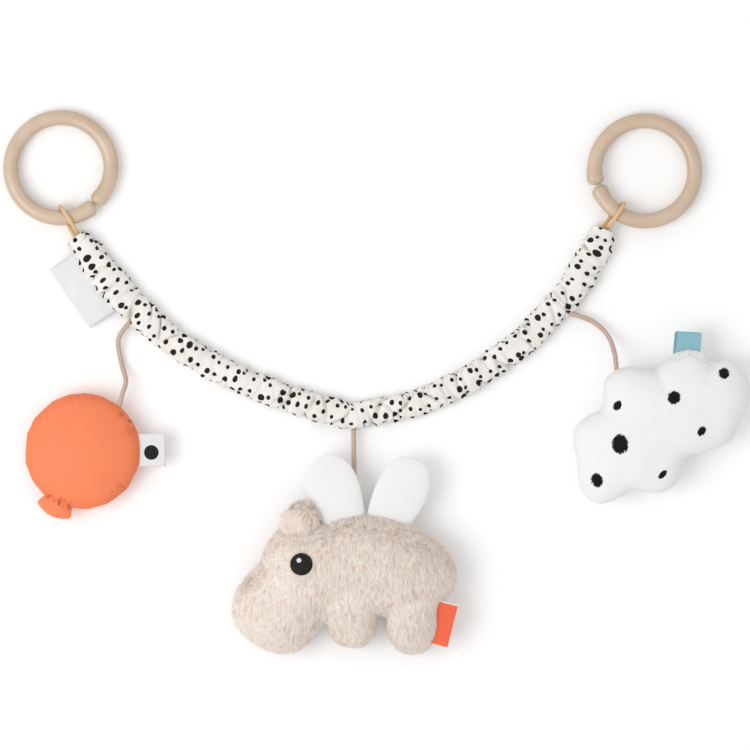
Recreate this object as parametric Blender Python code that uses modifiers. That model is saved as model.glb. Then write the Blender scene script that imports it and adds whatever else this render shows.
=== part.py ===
"""Pram chain toy: a ruched sleeve on elastic between two split rings, with three toys on cords.

The toy lies flat on a table, as it would be laid out for a photograph. +X is to the right,
+Y up the table, +Z away from it, and z = 0 is the table top. All lengths are in metres.
"""

import bpy
import bmesh
from math import atan2, cos, hypot, pi, radians, sin, sqrt
from mathutils import Matrix, Vector
from mathutils.bvhtree import BVHTree

# Plan: the chain lies in a square, and its route and the toys are placed by shares of it
PLAN_WIDTH = 0.4500

# Clearances
WELD = 0.000003
GAP = 0.0003
FLAT_CUT = 0.0005
OVERRUN = 0.002

# Split rings
RING_OUTER = 0.0694
RING_BAND = 0.0092
RING_BAND_THICK = 0.0086
RING_SPLIT = 0.0005
RING_SWELL = 0.0007
RING_SWELL_LENGTH = 0.0120
RING_TIP_LENGTH = 0.0040
RING_STEPS = 40
RING_TIP_SHARES = ((1.0, 0.50), (0.86, 0.78), (0.55, 0.95))
LEFT_SPLIT_ANGLE = radians(-47)
RIGHT_SPLIT_ANGLE = radians(197)
LEFT_END_OFFSET = 0.0008
RIGHT_END_OFFSET = 0.0006
RING_OFFSET_ANGLE = radians(55)

# Elastic loops
LOOP_CORD = 0.0022
LOOP_LENGTH = 0.0126
LOOP_SPREAD = 0.0012
LOOP_INNER_SLACK = 0.0010
LOOP_PIVOT_DEPTH = 0.0008
LOOP_STRAIGHT = 0.0017
LOOP_WRAP = radians(62)
LOOP_WRAP_STEPS = 11
LEFT_LOOP_TURN = radians(119.5)
RIGHT_LOOP_TURN = radians(48.0)
LEFT_RING_SKEW = radians(-23.4)
RIGHT_RING_SKEW = radians(9.9)

# Sleeve
SLEEVE_WIDTH = 0.0152
SLEEVE_THICK = 0.0108
SLEEVE_SIDES = 12
SLEEVE_STEP = 0.0033
SLEEVE_SQUARENESS = 0.80
GATHER_PITCH = 0.0128
GATHER_DEPTH = 0.0016
GATHER_DRIFT = 2.3
GATHER_DRIFT_PITCHES = 7.3
GATHER_SLANT = 1.5
GATHER_SLANT_PITCHES = 4.7
WIDTH_SHARES = (
    (0.000, 0.80), (0.014, 0.92), (0.040, 1.10), (0.090, 1.20), (0.150, 1.12), (0.230, 1.00),
    (0.350, 1.00), (0.500, 1.00), (0.650, 1.00), (0.770, 1.00), (0.860, 1.08), (0.920, 1.18),
    (0.965, 1.14), (0.986, 0.96), (1.000, 0.84),
)
SLEEVE_ROUTE_SHARES = (
    (-0.3967, 0.1927), (-0.3840, 0.1753), (-0.3693, 0.1553), (-0.3507, 0.1313), (-0.3280, 0.1060),
    (-0.3040, 0.0820), (-0.2747, 0.0567), (-0.2387, 0.0327), (-0.2027, 0.0127), (-0.1653, -0.0047),
    (-0.1253, -0.0207), (-0.0920, -0.0313), (-0.0587, -0.0407), (-0.0320, -0.0473), (-0.0053, -0.0433),
    (0.0213, -0.0380), (0.0480, -0.0327), (0.0747, -0.0233), (0.1080, -0.0087), (0.1413, 0.0113),
    (0.1747, 0.0340), (0.2080, 0.0607), (0.2387, 0.0940), (0.2640, 0.1207), (0.2813, 0.1500),
    (0.2973, 0.1793), (0.3060, 0.2020),
)
BORE_WIDTH = 0.0086
BORE_HEIGHT = 0.0037
BORE_CHAMFER_SHARE = 0.30
CORE_STEP = 0.0110

# Elastic band inside the sleeve
BAND_WIDTH = 0.0064
BAND_THICK = 0.0022
BAND_END_DEPTH = 0.0030

# Cords
CORD_DIAMETER = 0.0030
CORD_STEP = 0.0060
CORD_POCKET = 0.0008
CORD_SINK = 0.0008
CORD_TAIL = 0.0070
CORD_SOCKET_DEPTH = 0.0025
CORD_TIP_SHARES = ((0.0, 0.45), (0.18, 0.80), (0.50, 0.97))
BALLOON_EXIT_SHARE = 0.150
HIPPO_EXIT_SHARE = 0.5075
CLOUD_EXIT_SHARE = 0.867
BALLOON_CORD_SHARES = ((-0.3408, 0.0553), (-0.3376, 0.0252), (-0.3308, -0.0003))
BALLOON_CORD_HEIGHT_SHARES = (0.36, 0.12, 0.60)
CLOUD_CORD_SHARES = ((0.2924, 0.0776), (0.3120, 0.0581), (0.3199, 0.0347))
CLOUD_CORD_HEIGHT_SHARES = (0.20, 0.30, 0.88)

# Labels, tabs and ribbon: folded tapes
TAPE_THICK = 0.0005
SLEEVE_LABEL_WIDTH = 0.0425
SLEEVE_LABEL_REACH = 0.0165
SLEEVE_LABEL_FOLD = 0.0006
SLEEVE_LABEL_SHARE = 0.0721
SLEEVE_LABEL_DROOP = radians(9)
SLEEVE_LABEL_SKEW = radians(-3.7)
BALLOON_TAB_WIDTH = 0.0195
BALLOON_TAB_REACH = 0.0150
BALLOON_TAB_FOLD = 0.0016
BALLOON_TAB_ANGLE = radians(1.0)
CLOUD_RIBBON_WIDTH = 0.0146
CLOUD_RIBBON_REACH = 0.0125
CLOUD_RIBBON_FOLD = 0.0042
CLOUD_RIBBON_TURN = radians(86.5)
HIPPO_LABEL_WIDTH = 0.0262
HIPPO_LABEL_REACH = 0.0095
HIPPO_LABEL_FOLD = 0.0008

# Filled toys of two panels
PANEL_THICK = 0.0012
FULLNESS = 0.58

# Balloon
BALLOON_DIAMETER = 0.0690
BALLOON_THICK = 0.0260
BALLOON_PUCKER = 0.0008
BALLOON_PUCKERS = 18
BALLOON_RINGS = 5
BALLOON_CENTRE_SHARES = (-0.3880, -0.0940)
BALLOON_ENTRY_SHARES = (0.3226, 0.4061)
NECK_LENGTH = 0.0078
NECK_WIDTH = 0.0160
NECK_FLARE_WIDTH = 0.0205
NECK_THICK = 0.0062
NECK_ANGLE = radians(-116.0)
NECK_SIDES = 12
NECK_FLARE_SHARES = ((0.0, 0.0), (0.35, 0.0), (0.60, 0.5), (0.85, 1.0), (1.0, 1.0))
NECK_THICK_SHARES = (1.0, 1.0, 1.0, 0.55, 0.27)

# Cloud
CLOUD_WIDTH = 0.1050
CLOUD_THICK = 0.0340
CLOUD_STEP = 0.0075
CLOUD_RINGS = 6
CLOUD_CENTRE_SHARES = (0.3707, -0.0580)
CLOUD_ENTRY_SHARES = (-0.2080, 0.3046)
CLOUD_RIBBON_SHARES = (0.1886, 0.4057)
CLOUD_OUTLINE_SHARES = (
    (-0.2080, 0.3086), (-0.2657, 0.2571), (-0.2800, 0.1771), (-0.2914, 0.0857), (-0.3657, 0.0457),
    (-0.4343, -0.0114), (-0.4543, -0.0971), (-0.4286, -0.2114), (-0.4229, -0.3200), (-0.3829, -0.4057),
    (-0.2971, -0.4497), (-0.2000, -0.4171), (-0.1143, -0.3657), (0.0114, -0.3886), (0.0971, -0.3600),
    (0.1514, -0.2857), (0.1829, -0.1886), (0.3429, -0.1400), (0.4457, -0.0800), (0.4914, 0.0286),
    (0.5457, 0.1543), (0.5257, 0.2857), (0.4286, 0.3629), (0.3314, 0.3600), (0.2629, 0.4029),
    (0.1829, 0.4114), (0.0857, 0.3657), (0.0114, 0.3057), (-0.0686, 0.3143), (-0.1429, 0.3257),
)

# Hippo
HIPPO_LENGTH = 0.1344
HIPPO_THICK = 0.0360
HIPPO_CENTRE_SHARES = (0.0127, -0.2487)
HIPPO_CORD_DROP = 0.0062
HIPPO_ENTRY_SHARES = (-0.1272, 0.1920)
HIPPO_BODY_SHARES = (0.0, 0.004, 0.322, 0.200)
HIPPO_HEAD_SHARES = (-0.338, 0.008, 0.200, 0.184)
HIPPO_MUZZLE_SHARES = (-0.452, -0.158, 0.208, 0.190)
HIPPO_FRONT_LEG_SHARES = (-0.140, -0.208, 0.138, 0.100)
HIPPO_HIND_LEG_SHARES = (0.126, -0.210, 0.164, 0.106)
HIPPO_EAR_NEAR_SHARES = (-0.368, 0.206, 0.074, 0.072)
HIPPO_EAR_FAR_SHARES = (-0.378, 0.198, 0.072, 0.070)
HIPPO_WING_LEFT_SHARES = (-0.199, 0.276, 0.235, 0.111)
HIPPO_WING_RIGHT_SHARES = (0.046, 0.273, 0.235, 0.110)
HIPPO_EYE_SHARES = (-0.366, 0.018, 0.050, 0.050)
HIPPO_LABEL_SHARES = (0.234, -0.236)
HIPPO_BODY_TURN = radians(-11)
HIPPO_MUZZLE_TURN = radians(-124)
HIPPO_WING_LEFT_TURN = radians(108)
HIPPO_WING_RIGHT_TURN = radians(64)
HIPPO_LABEL_TURN = radians(-14)
BODY_BOXY = 0.96
HEAD_BOXY = 0.94
MUZZLE_BOXY = 0.86
LEG_BOXY = 0.90
WING_BOXY = 0.92
BODY_TAPER = -0.14
MUZZLE_TAPER = 0.12
LEG_TAPER = 0.05
LEG_TURN = radians(-90)
HEAD_THICK = 0.0330
MUZZLE_THICK = 0.0320
LEG_THICK = 0.0270
EAR_THICK = 0.0090
WING_THICK = 0.0070
WING_TAPER = 0.30
WING_RAISE = 0.0005
EYE_PROUD = 0.0009

# Colours: red, green, blue and roughness of each finish
RING_PLASTIC = (0.69, 0.52, 0.38, 0.55)
ELASTIC = (0.72, 0.44, 0.19, 0.60)
COTTON = (0.87, 0.84, 0.80, 0.90)
BAND_RUBBER = (0.80, 0.78, 0.74, 0.80)
SATIN_TAPE = (0.87, 0.87, 0.87, 0.50)
CORD_BRAID = (0.68, 0.53, 0.46, 0.80)
BALLOON_SATIN = (0.93, 0.24, 0.10, 0.45)
FIBRE = (0.90, 0.90, 0.88, 0.95)
PLUSH = (0.70, 0.60, 0.53, 0.95)
VELOUR = (0.88, 0.88, 0.87, 0.90)
EYE_THREAD = (0.02, 0.02, 0.02, 0.50)
TAG_SATIN = (0.93, 0.13, 0.06, 0.50)
CLOUD_PLUSH = (0.88, 0.88, 0.88, 0.95)
RIBBON_TEAL = (0.22, 0.54, 0.58, 0.70)


# Scene

def clear_scene():
    for obj in list(bpy.data.objects):
        bpy.data.objects.remove(obj, do_unlink=True)


def new_collection(name):
    found = bpy.data.collections.new(name)
    bpy.context.scene.collection.children.link(found)
    return found


def finish_of(name, values):
    made = bpy.data.materials.get(name) or bpy.data.materials.new(name)
    made.use_nodes = True
    shader = made.node_tree.nodes["Principled BSDF"]
    shader.inputs["Base Color"].default_value = (*values[:3], 1.0)
    shader.inputs["Roughness"].default_value = values[3]
    shader.inputs["Metallic"].default_value = 0.0
    return made


def from_bmesh(name, bm, collection, floor=None):
    """A new object in world coordinates from a bmesh, cut off flat at a floor if there is one."""
    bmesh.ops.remove_doubles(bm, verts=bm.verts, dist=WELD)
    if floor is not None:
        bmesh.ops.bisect_plane(bm, geom=[*bm.verts, *bm.edges, *bm.faces], dist=WELD,
                               plane_co=(0, 0, floor), plane_no=(0, 0, -1), clear_outer=True)
        bmesh.ops.holes_fill(bm, edges=[edge for edge in bm.edges if edge.is_boundary], sides=0)
    bmesh.ops.recalc_face_normals(bm, faces=bm.faces)
    mesh = bpy.data.meshes.new(name)
    bm.to_mesh(mesh)
    bm.free()
    obj = bpy.data.objects.new(name, mesh)
    collection.objects.link(obj)
    return obj


def dress(obj, material_name, values):
    obj.data.materials.clear()
    obj.data.materials.append(finish_of(material_name, values))
    obj.data.shade_smooth()
    obj.data.set_sharp_from_angle(angle=radians(50))
    return obj


def as_cutter(obj):
    obj.hide_render = True
    obj.display_type = "WIRE"
    return obj


def cut(obj, cutter):
    boolean = obj.modifiers.new("cut by " + cutter.name, "BOOLEAN")
    boolean.operation = "DIFFERENCE"
    boolean.solver = "EXACT"
    boolean.object = cutter
    return obj


def pivot(name, place, axis=(0, 0, 1), parent=None):
    """An empty on a joint: its own Z is the joint's axis."""
    made = bpy.data.objects.new(name, None)
    parts.objects.link(made)
    turn = Vector((0, 0, 1)).rotation_difference(Vector(axis)).to_matrix().to_4x4()
    made.matrix_world = Matrix.Translation(place) @ turn
    if parent:
        made.parent = parent
        made.matrix_parent_inverse = world_of(parent).inverted()
    made["world"] = [value for row in (Matrix.Translation(place) @ turn) for value in row]
    return made


def world_of(empty):
    values = list(empty["world"])
    return Matrix([values[k * 4:k * 4 + 4] for k in range(4)])


def carried(obj, empty):
    """Hangs a piece on an empty, with the piece's own origin on the joint."""
    world = world_of(empty)
    obj.data.transform(world.inverted())
    obj.parent = empty
    return obj


# Curves and lofts

def eased(share):
    """Turns a share from 0 to 1 into one that starts and ends softly."""
    return share * share * (3 - 2 * share)


def on_plan(shares, height=0.0, width=PLAN_WIDTH, centre=(0.0, 0.0)):
    """A place from its shares of a width, counted from a centre, and a height."""
    return Vector((centre[0] + shares[0] * width, centre[1] + shares[1] * width, height))


def smooth_route(points, step, pieces=12):
    """Evenly spaced points, about a step apart, on a smooth curve through the points."""
    points = [Vector(p) for p in points]
    knots = [2 * points[0] - points[1], *points, 2 * points[-1] - points[-2]]
    fine = []
    for a, b, c, d in zip(knots, knots[1:], knots[2:], knots[3:]):
        for k in range(pieces):
            t = k / pieces
            bend = (2 * a - 5 * b + 4 * c - d) * t ** 2 + (3 * b - a - 3 * c + d) * t ** 3
            fine.append((2 * b + (c - a) * t + bend) / 2)
    fine.append(points[-1])
    runs = [0.0]
    for a, b in zip(fine, fine[1:]):
        runs.append(runs[-1] + (b - a).length)
    count = max(2, round(runs[-1] / step))
    even, at = [], 0
    for k in range(count + 1):
        goal = runs[-1] * k / count
        while at < len(runs) - 2 and runs[at + 1] < goal:
            at += 1
        share = (goal - runs[at]) / (runs[at + 1] - runs[at])
        even.append(fine[at].lerp(fine[at + 1], min(1.0, share)))
    return even


def length_of(route):
    return sum((b - a).length for a, b in zip(route, route[1:]))


def share_between(table, x):
    """Reads a table of (place, value) at x with eased steps between its rows."""
    for (x0, y0), (x1, y1) in zip(table, table[1:]):
        if x <= x1:
            t = (x - x0) / (x1 - x0)
            return y0 + (y1 - y0) * eased(t)
    return table[-1][1]


def tube(name, points, radii, collection, sides_resolution=2):
    """A round tube along the points, from a bevelled curve made into a closed mesh."""
    curve = bpy.data.curves.new(name, "CURVE")
    curve.dimensions = "3D"
    curve.bevel_depth = 1.0
    curve.bevel_resolution = sides_resolution
    curve.use_fill_caps = True
    spline = curve.splines.new("POLY")
    spline.points.add(len(points) - 1)
    for spot, place, radius in zip(spline.points, points, radii):
        spot.co = (*place, 1.0)
        spot.radius = radius
    guide = bpy.data.objects.new(name + "_curve", curve)
    bpy.context.scene.collection.objects.link(guide)
    graph = bpy.context.evaluated_depsgraph_get()
    mesh = bpy.data.meshes.new_from_object(guide.evaluated_get(graph))
    bpy.data.objects.remove(guide, do_unlink=True)
    bm = bmesh.new()
    bm.from_mesh(mesh)
    bpy.data.meshes.remove(mesh)
    return from_bmesh(name, bm, collection)


def loft(name, rings, collection):
    """A closed skin over rings of equal count, with a flat cap at each end."""
    bm = bmesh.new()
    rows = [[bm.verts.new(place) for place in ring] for ring in rings]
    for low, high in zip(rows, rows[1:]):
        for k in range(len(low)):
            follow = (k + 1) % len(low)
            bm.faces.new((low[k], low[follow], high[follow], high[k]))
    bm.faces.new(rows[0])
    bm.faces.new(rows[-1])
    return from_bmesh(name, bm, collection)


def rod(name, start, end, radius, collection, sides=16):
    """A straight cylinder between two places."""
    bm = bmesh.new()
    along = Vector(end) - Vector(start)
    turn = Vector((0, 0, 1)).rotation_difference(along).to_matrix().to_4x4()
    place = Matrix.Translation((Vector(start) + Vector(end)) / 2) @ turn
    bmesh.ops.create_cone(bm, cap_ends=True, segments=sides, radius1=radius, radius2=radius,
                          depth=along.length, matrix=place)
    return from_bmesh(name, bm, collection)


# Sleeve

def sleeve_centre_height():
    return SLEEVE_THICK / 2 - FLAT_CUT


def sleeve_route(step):
    height = sleeve_centre_height()
    return smooth_route([on_plan(spot, height) for spot in SLEEVE_ROUTE_SHARES], step)


def frame_along(route, k):
    """The direction of a flat route at point k, and the direction to its left."""
    ahead = route[min(k + 1, len(route) - 1)] - route[max(k - 1, 0)]
    ahead.normalize()
    return ahead, Vector((-ahead.y, ahead.x, 0))


def gather(run, angle):
    """How far the gathers draw the skin in, from 0 on a puff to 1 in a fold."""
    turns = run / GATHER_PITCH
    drift = GATHER_DRIFT * sin(turns * 2 * pi / GATHER_DRIFT_PITCHES)
    slant = GATHER_SLANT * sin(turns * 2 * pi / GATHER_SLANT_PITCHES + angle)
    return (1 - abs(sin(pi * turns + drift + slant))) ** 1.5


def sleeve_half_width(run_share):
    return SLEEVE_WIDTH / 2 * share_between(WIDTH_SHARES, run_share)


def sleeve_half_height(run_share):
    return SLEEVE_THICK / 2 * min(1.0, share_between(WIDTH_SHARES, run_share))


def rounded(value):
    """Squares up a round section a little: a power below 1 fills the corners."""
    return abs(value) ** SLEEVE_SQUARENESS * (1 if value > 0 else -1)


def make_sleeve():
    route = sleeve_route(SLEEVE_STEP)
    rings = []
    for k, centre in enumerate(route):
        share = k / (len(route) - 1)
        run = share * length_of(route)
        _, left = frame_along(route, k)
        near_tip = min(share, 1 - share) < 1 / len(route)
        ring = []
        for side in range(SLEEVE_SIDES):
            angle = 2 * pi * (side + 0.5) / SLEEVE_SIDES
            drawn = GATHER_DEPTH * gather(run, angle) * (not near_tip)
            wide = sleeve_half_width(share) - drawn
            high = sleeve_half_height(share) - drawn
            spot = centre + left * wide * rounded(cos(angle))
            spot.z = max(0.0, centre.z + high * rounded(sin(angle)))
            ring.append(spot)
        rings.append(ring)
    sleeve = loft("sleeve", rings, parts)
    bore = loft("sleeve_bore_cutter", flat_rings(BORE_WIDTH, BORE_HEIGHT, BORE_CHAMFER_SHARE,
                                                 -OVERRUN), cutters)
    return cut(sleeve, as_cutter(bore))


def flat_rings(width, height, chamfer_share, inset):
    """Rings of a flat section along the sleeve, from inset inside one end to the other."""
    route = sleeve_route(CORE_STEP)
    first, _ = frame_along(route, 0)
    last, _ = frame_along(route, len(route) - 1)
    route = [route[0] + first * inset, *route[1:-1], route[-1] - last * inset]
    w, h = width / 2, height / 2
    keep = 1 - chamfer_share
    if chamfer_share:
        section = [(w, -h * keep), (w, h * keep), (w * keep, h), (-w * keep, h)]
        section += [(-x, -y) for x, y in section]
    else:
        section = [(w, -h), (w, h), (-w, h), (-w, -h)]
    rings = []
    for k, centre in enumerate(route):
        _, left = frame_along(route, k)
        rings.append([centre + left * x + Vector((0, 0, y)) for x, y in section])
    return rings


def make_elastic_band():
    return loft("elastic_band", flat_rings(BAND_WIDTH, BAND_THICK, 0.0, BAND_END_DEPTH), parts)


def sleeve_spot(run_share):
    """Centre, direction and left of the sleeve at a share of its length."""
    route = sleeve_route(SLEEVE_STEP)
    k = round(run_share * (len(route) - 1))
    ahead, left = frame_along(route, k)
    return route[k], ahead, left


# Loops and rings

class End:
    """Where things lie at one end of the sleeve."""

    def __init__(self, left_end):
        route = sleeve_route(SLEEVE_STEP)
        self.name = "left" if left_end else "right"
        tip = route[0] if left_end else route[-1]
        turn = LEFT_LOOP_TURN if left_end else RIGHT_LOOP_TURN
        skew = LEFT_RING_SKEW if left_end else RIGHT_RING_SKEW
        self.split = LEFT_SPLIT_ANGLE if left_end else RIGHT_SPLIT_ANGLE
        self.offset = LEFT_END_OFFSET if left_end else RIGHT_END_OFFSET
        self.out = Vector((cos(turn), sin(turn), 0))
        self.side = Vector((-sin(turn), cos(turn), 0))
        self.pivot = tip - self.out * LOOP_PIVOT_DEPTH
        self.crossing = tip + self.out * LOOP_LENGTH
        self.crossing.z = LOOP_CORD + GAP + RING_BAND_THICK / 2
        inward = Vector((cos(turn + skew), sin(turn + skew), 0))
        self.skew = skew
        self.radius = (RING_OUTER - RING_BAND) / 2
        rise = self.crossing.z - RING_BAND_THICK / 2
        self.tilt = atan2(rise, 2 * self.radius)
        flat = self.crossing + inward * self.radius * cos(self.tilt)
        self.centre = Vector((flat.x, flat.y, self.crossing.z - self.radius * sin(self.tilt)))
        across = Vector((-inward.y, inward.x, 0))
        self.axis = Matrix.Rotation(self.tilt, 3, across) @ Vector((0, 0, 1))


def make_loop(end):
    """The elastic loop: two strands from the sleeve's mouth, over, round and under the band."""
    radius = LOOP_CORD / 2
    reach = hypot(end.crossing.x - end.pivot.x, end.crossing.y - end.pivot.y)
    near = RING_BAND / 2 / cos(end.skew) + GAP * 2 + radius
    far = near + LOOP_INNER_SLACK
    high = RING_BAND_THICK / 2 + GAP + radius
    spread = LOOP_SPREAD
    route = [(0, spread, end.pivot.z), (LOOP_STRAIGHT, spread, end.pivot.z)]
    for k in range(LOOP_WRAP_STEPS):
        share = k / (LOOP_WRAP_STEPS - 1)
        angle = LOOP_WRAP + (2 * pi - 2 * LOOP_WRAP) * share
        stretch = near if cos(angle) > 0 else far
        x = reach - stretch * cos(angle)
        route.append((x, spread * (1 - 2 * share), end.crossing.z + high * sin(angle)))
    route += [(LOOP_STRAIGHT, -spread, end.pivot.z), (0, -spread, end.pivot.z)]
    places = [end.pivot + end.out * x + end.side * y for x, y, _ in route]
    for place, (_, _, z) in zip(places, route):
        place.z = z
    points = smooth_route(places, LOOP_CORD)
    return tube(end.name + "_loop", *rounded_ends(points, radius), parts)


def rounded_ends(points, radius):
    """The points with both ends drawn on to a round tip, and the radius at each."""
    body = list(points)
    heads, sizes = [], []
    for inner, outer in ((body[1], body[0]), (body[-2], body[-1])):
        out = (outer - inner).normalized()
        places = [outer + out * radius * (1 - share) for share, _ in CORD_TIP_SHARES]
        heads.append(places)
        sizes.append([radius * size for _, size in CORD_TIP_SHARES])
    places = heads[0] + body + heads[1][::-1]
    radii = sizes[0] + [radius] * len(body) + sizes[1][::-1]
    return places, radii


def make_ring(end):
    """A split ring whose two blunt ends swell and stand a little off each other."""
    circle = 2 * pi * end.radius
    half_split = (RING_SPLIT / 2) / end.radius
    tip_turn = RING_TIP_LENGTH / end.radius
    sweep = 2 * pi - 2 * half_split
    turns = [tip_turn * (1 - share) for share, _ in RING_TIP_SHARES]
    inner = [tip_turn + (sweep - 2 * tip_turn) * k / RING_STEPS for k in range(RING_STEPS + 1)]
    turns = turns + inner + [sweep - turn for turn in reversed(turns)]
    axis_turn = Vector((0, 0, 1)).rotation_difference(end.axis).to_matrix()
    points, radii = [], []
    for turn in turns:
        from_end = min(turn, sweep - turn) / (2 * pi) * circle
        swell = max(0.0, 1 - from_end / RING_SWELL_LENGTH)
        radius = RING_BAND / 2 + RING_SWELL * eased(swell)
        for share, size in RING_TIP_SHARES:
            if from_end < RING_TIP_LENGTH * (1 - share) + WELD:
                radius *= size
                break
        ease = max(0.0, 1 - turn / RING_OFFSET_ANGLE)
        reach = end.radius - end.offset * eased(ease)
        angle = end.split + half_split + turn
        flat = Vector((reach * cos(angle), reach * sin(angle), 0))
        points.append(end.centre + axis_turn @ flat)
        radii.append(radius)
    ring = tube(end.name + "_ring", points, radii, parts, sides_resolution=3)
    flatten = Matrix.Scale(RING_BAND_THICK / RING_BAND, 4, end.axis)
    move = Matrix.Translation(end.centre)
    ring.data.transform(move @ flatten @ move.inverted())
    return ring


# Folded tapes

def folded_tape(name, width, reach, fold, base, out, droop=0.0):
    """A tape folded in two: both raw ends at the base, the fold at its reach."""
    half_fold = fold / 2 + TAPE_THICK / 2
    profile = [(-OVERRUN, half_fold)]
    profile += [(reach - half_fold - TAPE_THICK / 2, half_fold)]
    for k in range(1, 6):
        angle = pi / 2 - pi * k / 6
        x = reach - half_fold - TAPE_THICK / 2 + half_fold * cos(angle)
        profile.append((x, half_fold * sin(angle)))
    profile += [(x, -z) for x, z in reversed(profile[:2])]
    bm = bmesh.new()
    rows = [[bm.verts.new((x, y, z)) for x, z in profile] for y in (-width / 2, width / 2)]
    for k in range(len(profile) - 1):
        bm.faces.new((rows[0][k], rows[0][k + 1], rows[1][k + 1], rows[1][k]))
    tape = from_bmesh(name, bm, parts)
    turn = Matrix.Rotation(atan2(out.y, out.x), 4, "Z") @ Matrix.Rotation(droop, 4, "Y")
    tape.data.transform(Matrix.Translation(base) @ turn)
    solidify = tape.modifiers.new("tape", "SOLIDIFY")
    solidify.thickness = TAPE_THICK
    solidify.offset = 0.0
    return tape


# Puffed toys made of two panels

class Pillow:
    """A puffed form: a rim in the seam's plane, about a centre, with a dome on each side."""

    def __init__(self, centre, thick, rim, rings):
        self.centre = centre
        self.thick = thick
        self.rim = [place - centre for place in rim]
        self.rings = rings

    def solid(self, name, collection, grow=0.0, half=0):
        """The form grown all round; half 1 or -1 keeps what is over or under the seam."""
        bm = bmesh.new()
        top = self.surface(bm, grow, 1)
        low = self.surface(bm, grow, -1)
        if half:
            kept, other = (top, low) if half > 0 else (low, top)
            for vert in {v for row in other for v in row}:
                bm.verts.remove(vert)
            for vert in kept[-1]:
                vert.co.z = self.centre.z + half * GAP / 2
            bm.faces.new(kept[-1])
        elif grow:
            for k in range(len(self.rim)):
                follow = (k + 1) % len(self.rim)
                bm.faces.new((top[-1][k], top[-1][follow], low[-1][follow], low[-1][k]))
        return from_bmesh(name, bm, collection, floor=-grow)

    def surface(self, bm, grow, side):
        centre = bm.verts.new(self.spot(0, 0.0, grow, side))
        rows = [[centre] * len(self.rim)]
        for ring in range(1, self.rings + 1):
            share = sin(pi / 2 * ring / self.rings)
            rows.append([bm.verts.new(self.spot(k, share, grow, side))
                         for k in range(len(self.rim))])
        for inner, outer in zip(rows, rows[1:]):
            for k in range(len(self.rim)):
                follow = (k + 1) % len(self.rim)
                corners = [inner[k], inner[follow], outer[follow], outer[k]]
                bm.faces.new(list(dict.fromkeys(corners)))
        return rows

    def edge(self, k, grow):
        """A place of the rim, moved square to it."""
        along = self.rim[(k + 1) % len(self.rim)] - self.rim[k - 1]
        return self.rim[k] + Vector((along.y, -along.x, 0)).normalized() * grow

    def spot(self, k, share, grow, side):
        edge = self.edge(k, grow)
        depth = min(1.0, share * edge.length / self.rim[k].length)
        high = self.thick / 2 * (1 - depth ** 2) ** FULLNESS + grow
        return self.centre + edge * share + Vector((0, 0, side * high))


def make_pillow(form, name, material, values, socket):
    """Front panel, back panel and filling of a puffed toy, with the cord's socket cut out."""
    inside = as_cutter(form.solid(name + "_inside_cutter", cutters, -PANEL_THICK))
    panels = [form.solid(name + "_front", parts, half=1)]
    panels.append(form.solid(name + "_back", parts, half=-1))
    for panel in panels:
        dress(cut(cut(panel, inside), socket), material, values)
    filling = form.solid(name + "_filling", parts, -PANEL_THICK - GAP)
    dress(cut(filling, socket), "fibre", FIBRE)
    return [*panels, filling]


# Cords

def cord_route(start, way_points, heights, entry, into):
    """From the sleeve, through the way points, and straight into the toy along its axis."""
    low, high = CORD_DIAMETER / 2, entry.z
    places = [start]
    for spot, share in zip(way_points, heights):
        places.append(on_plan(spot, low + (high - low) * share))
    places.append(entry - into * CORD_TAIL)
    places.append(entry - into * CORD_TAIL / 3)
    places.append(entry + into * (CORD_SOCKET_DEPTH - CORD_DIAMETER / 2 - GAP))
    return places


def make_cord(name, places):
    points = smooth_route(places, CORD_STEP)
    return dress(tube(name, *rounded_ends(points, CORD_DIAMETER / 2), parts), "cord", CORD_BRAID)


def cord_pocket(name, places):
    """The hollow in the sleeve's seam that the cord's round end sits in and swings in."""
    points = smooth_route(places, CORD_STEP)[:2]
    radius = CORD_DIAMETER / 2 + CORD_POCKET
    return as_cutter(tube(name + "_pocket_cutter", *rounded_ends(points, radius), cutters))


def cord_socket(name, entry, into):
    """The round hole in a toy's seam, on the line that the toy twists about."""
    end = entry + into * CORD_SOCKET_DEPTH
    start = entry - into * CORD_TAIL
    radius = CORD_DIAMETER / 2 + GAP
    return as_cutter(rod(name + "_socket_cutter", start, end, radius, cutters))


def sleeve_exit(run_share, side):
    """The pivot of a cord on the sleeve's flank: side 1 is left of its run, -1 right."""
    centre, _, left = sleeve_spot(run_share)
    return centre + left * side * (sleeve_half_width(run_share) - CORD_SINK)


# Balloon

def balloon_rim(centre):
    rim = []
    for k in range(2 * BALLOON_PUCKERS):
        angle = pi * k / BALLOON_PUCKERS
        reach = BALLOON_DIAMETER / 2 - BALLOON_PUCKER * (k % 2)
        rim.append(centre + Vector((reach * cos(angle), reach * sin(angle), 0)))
    return rim


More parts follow.
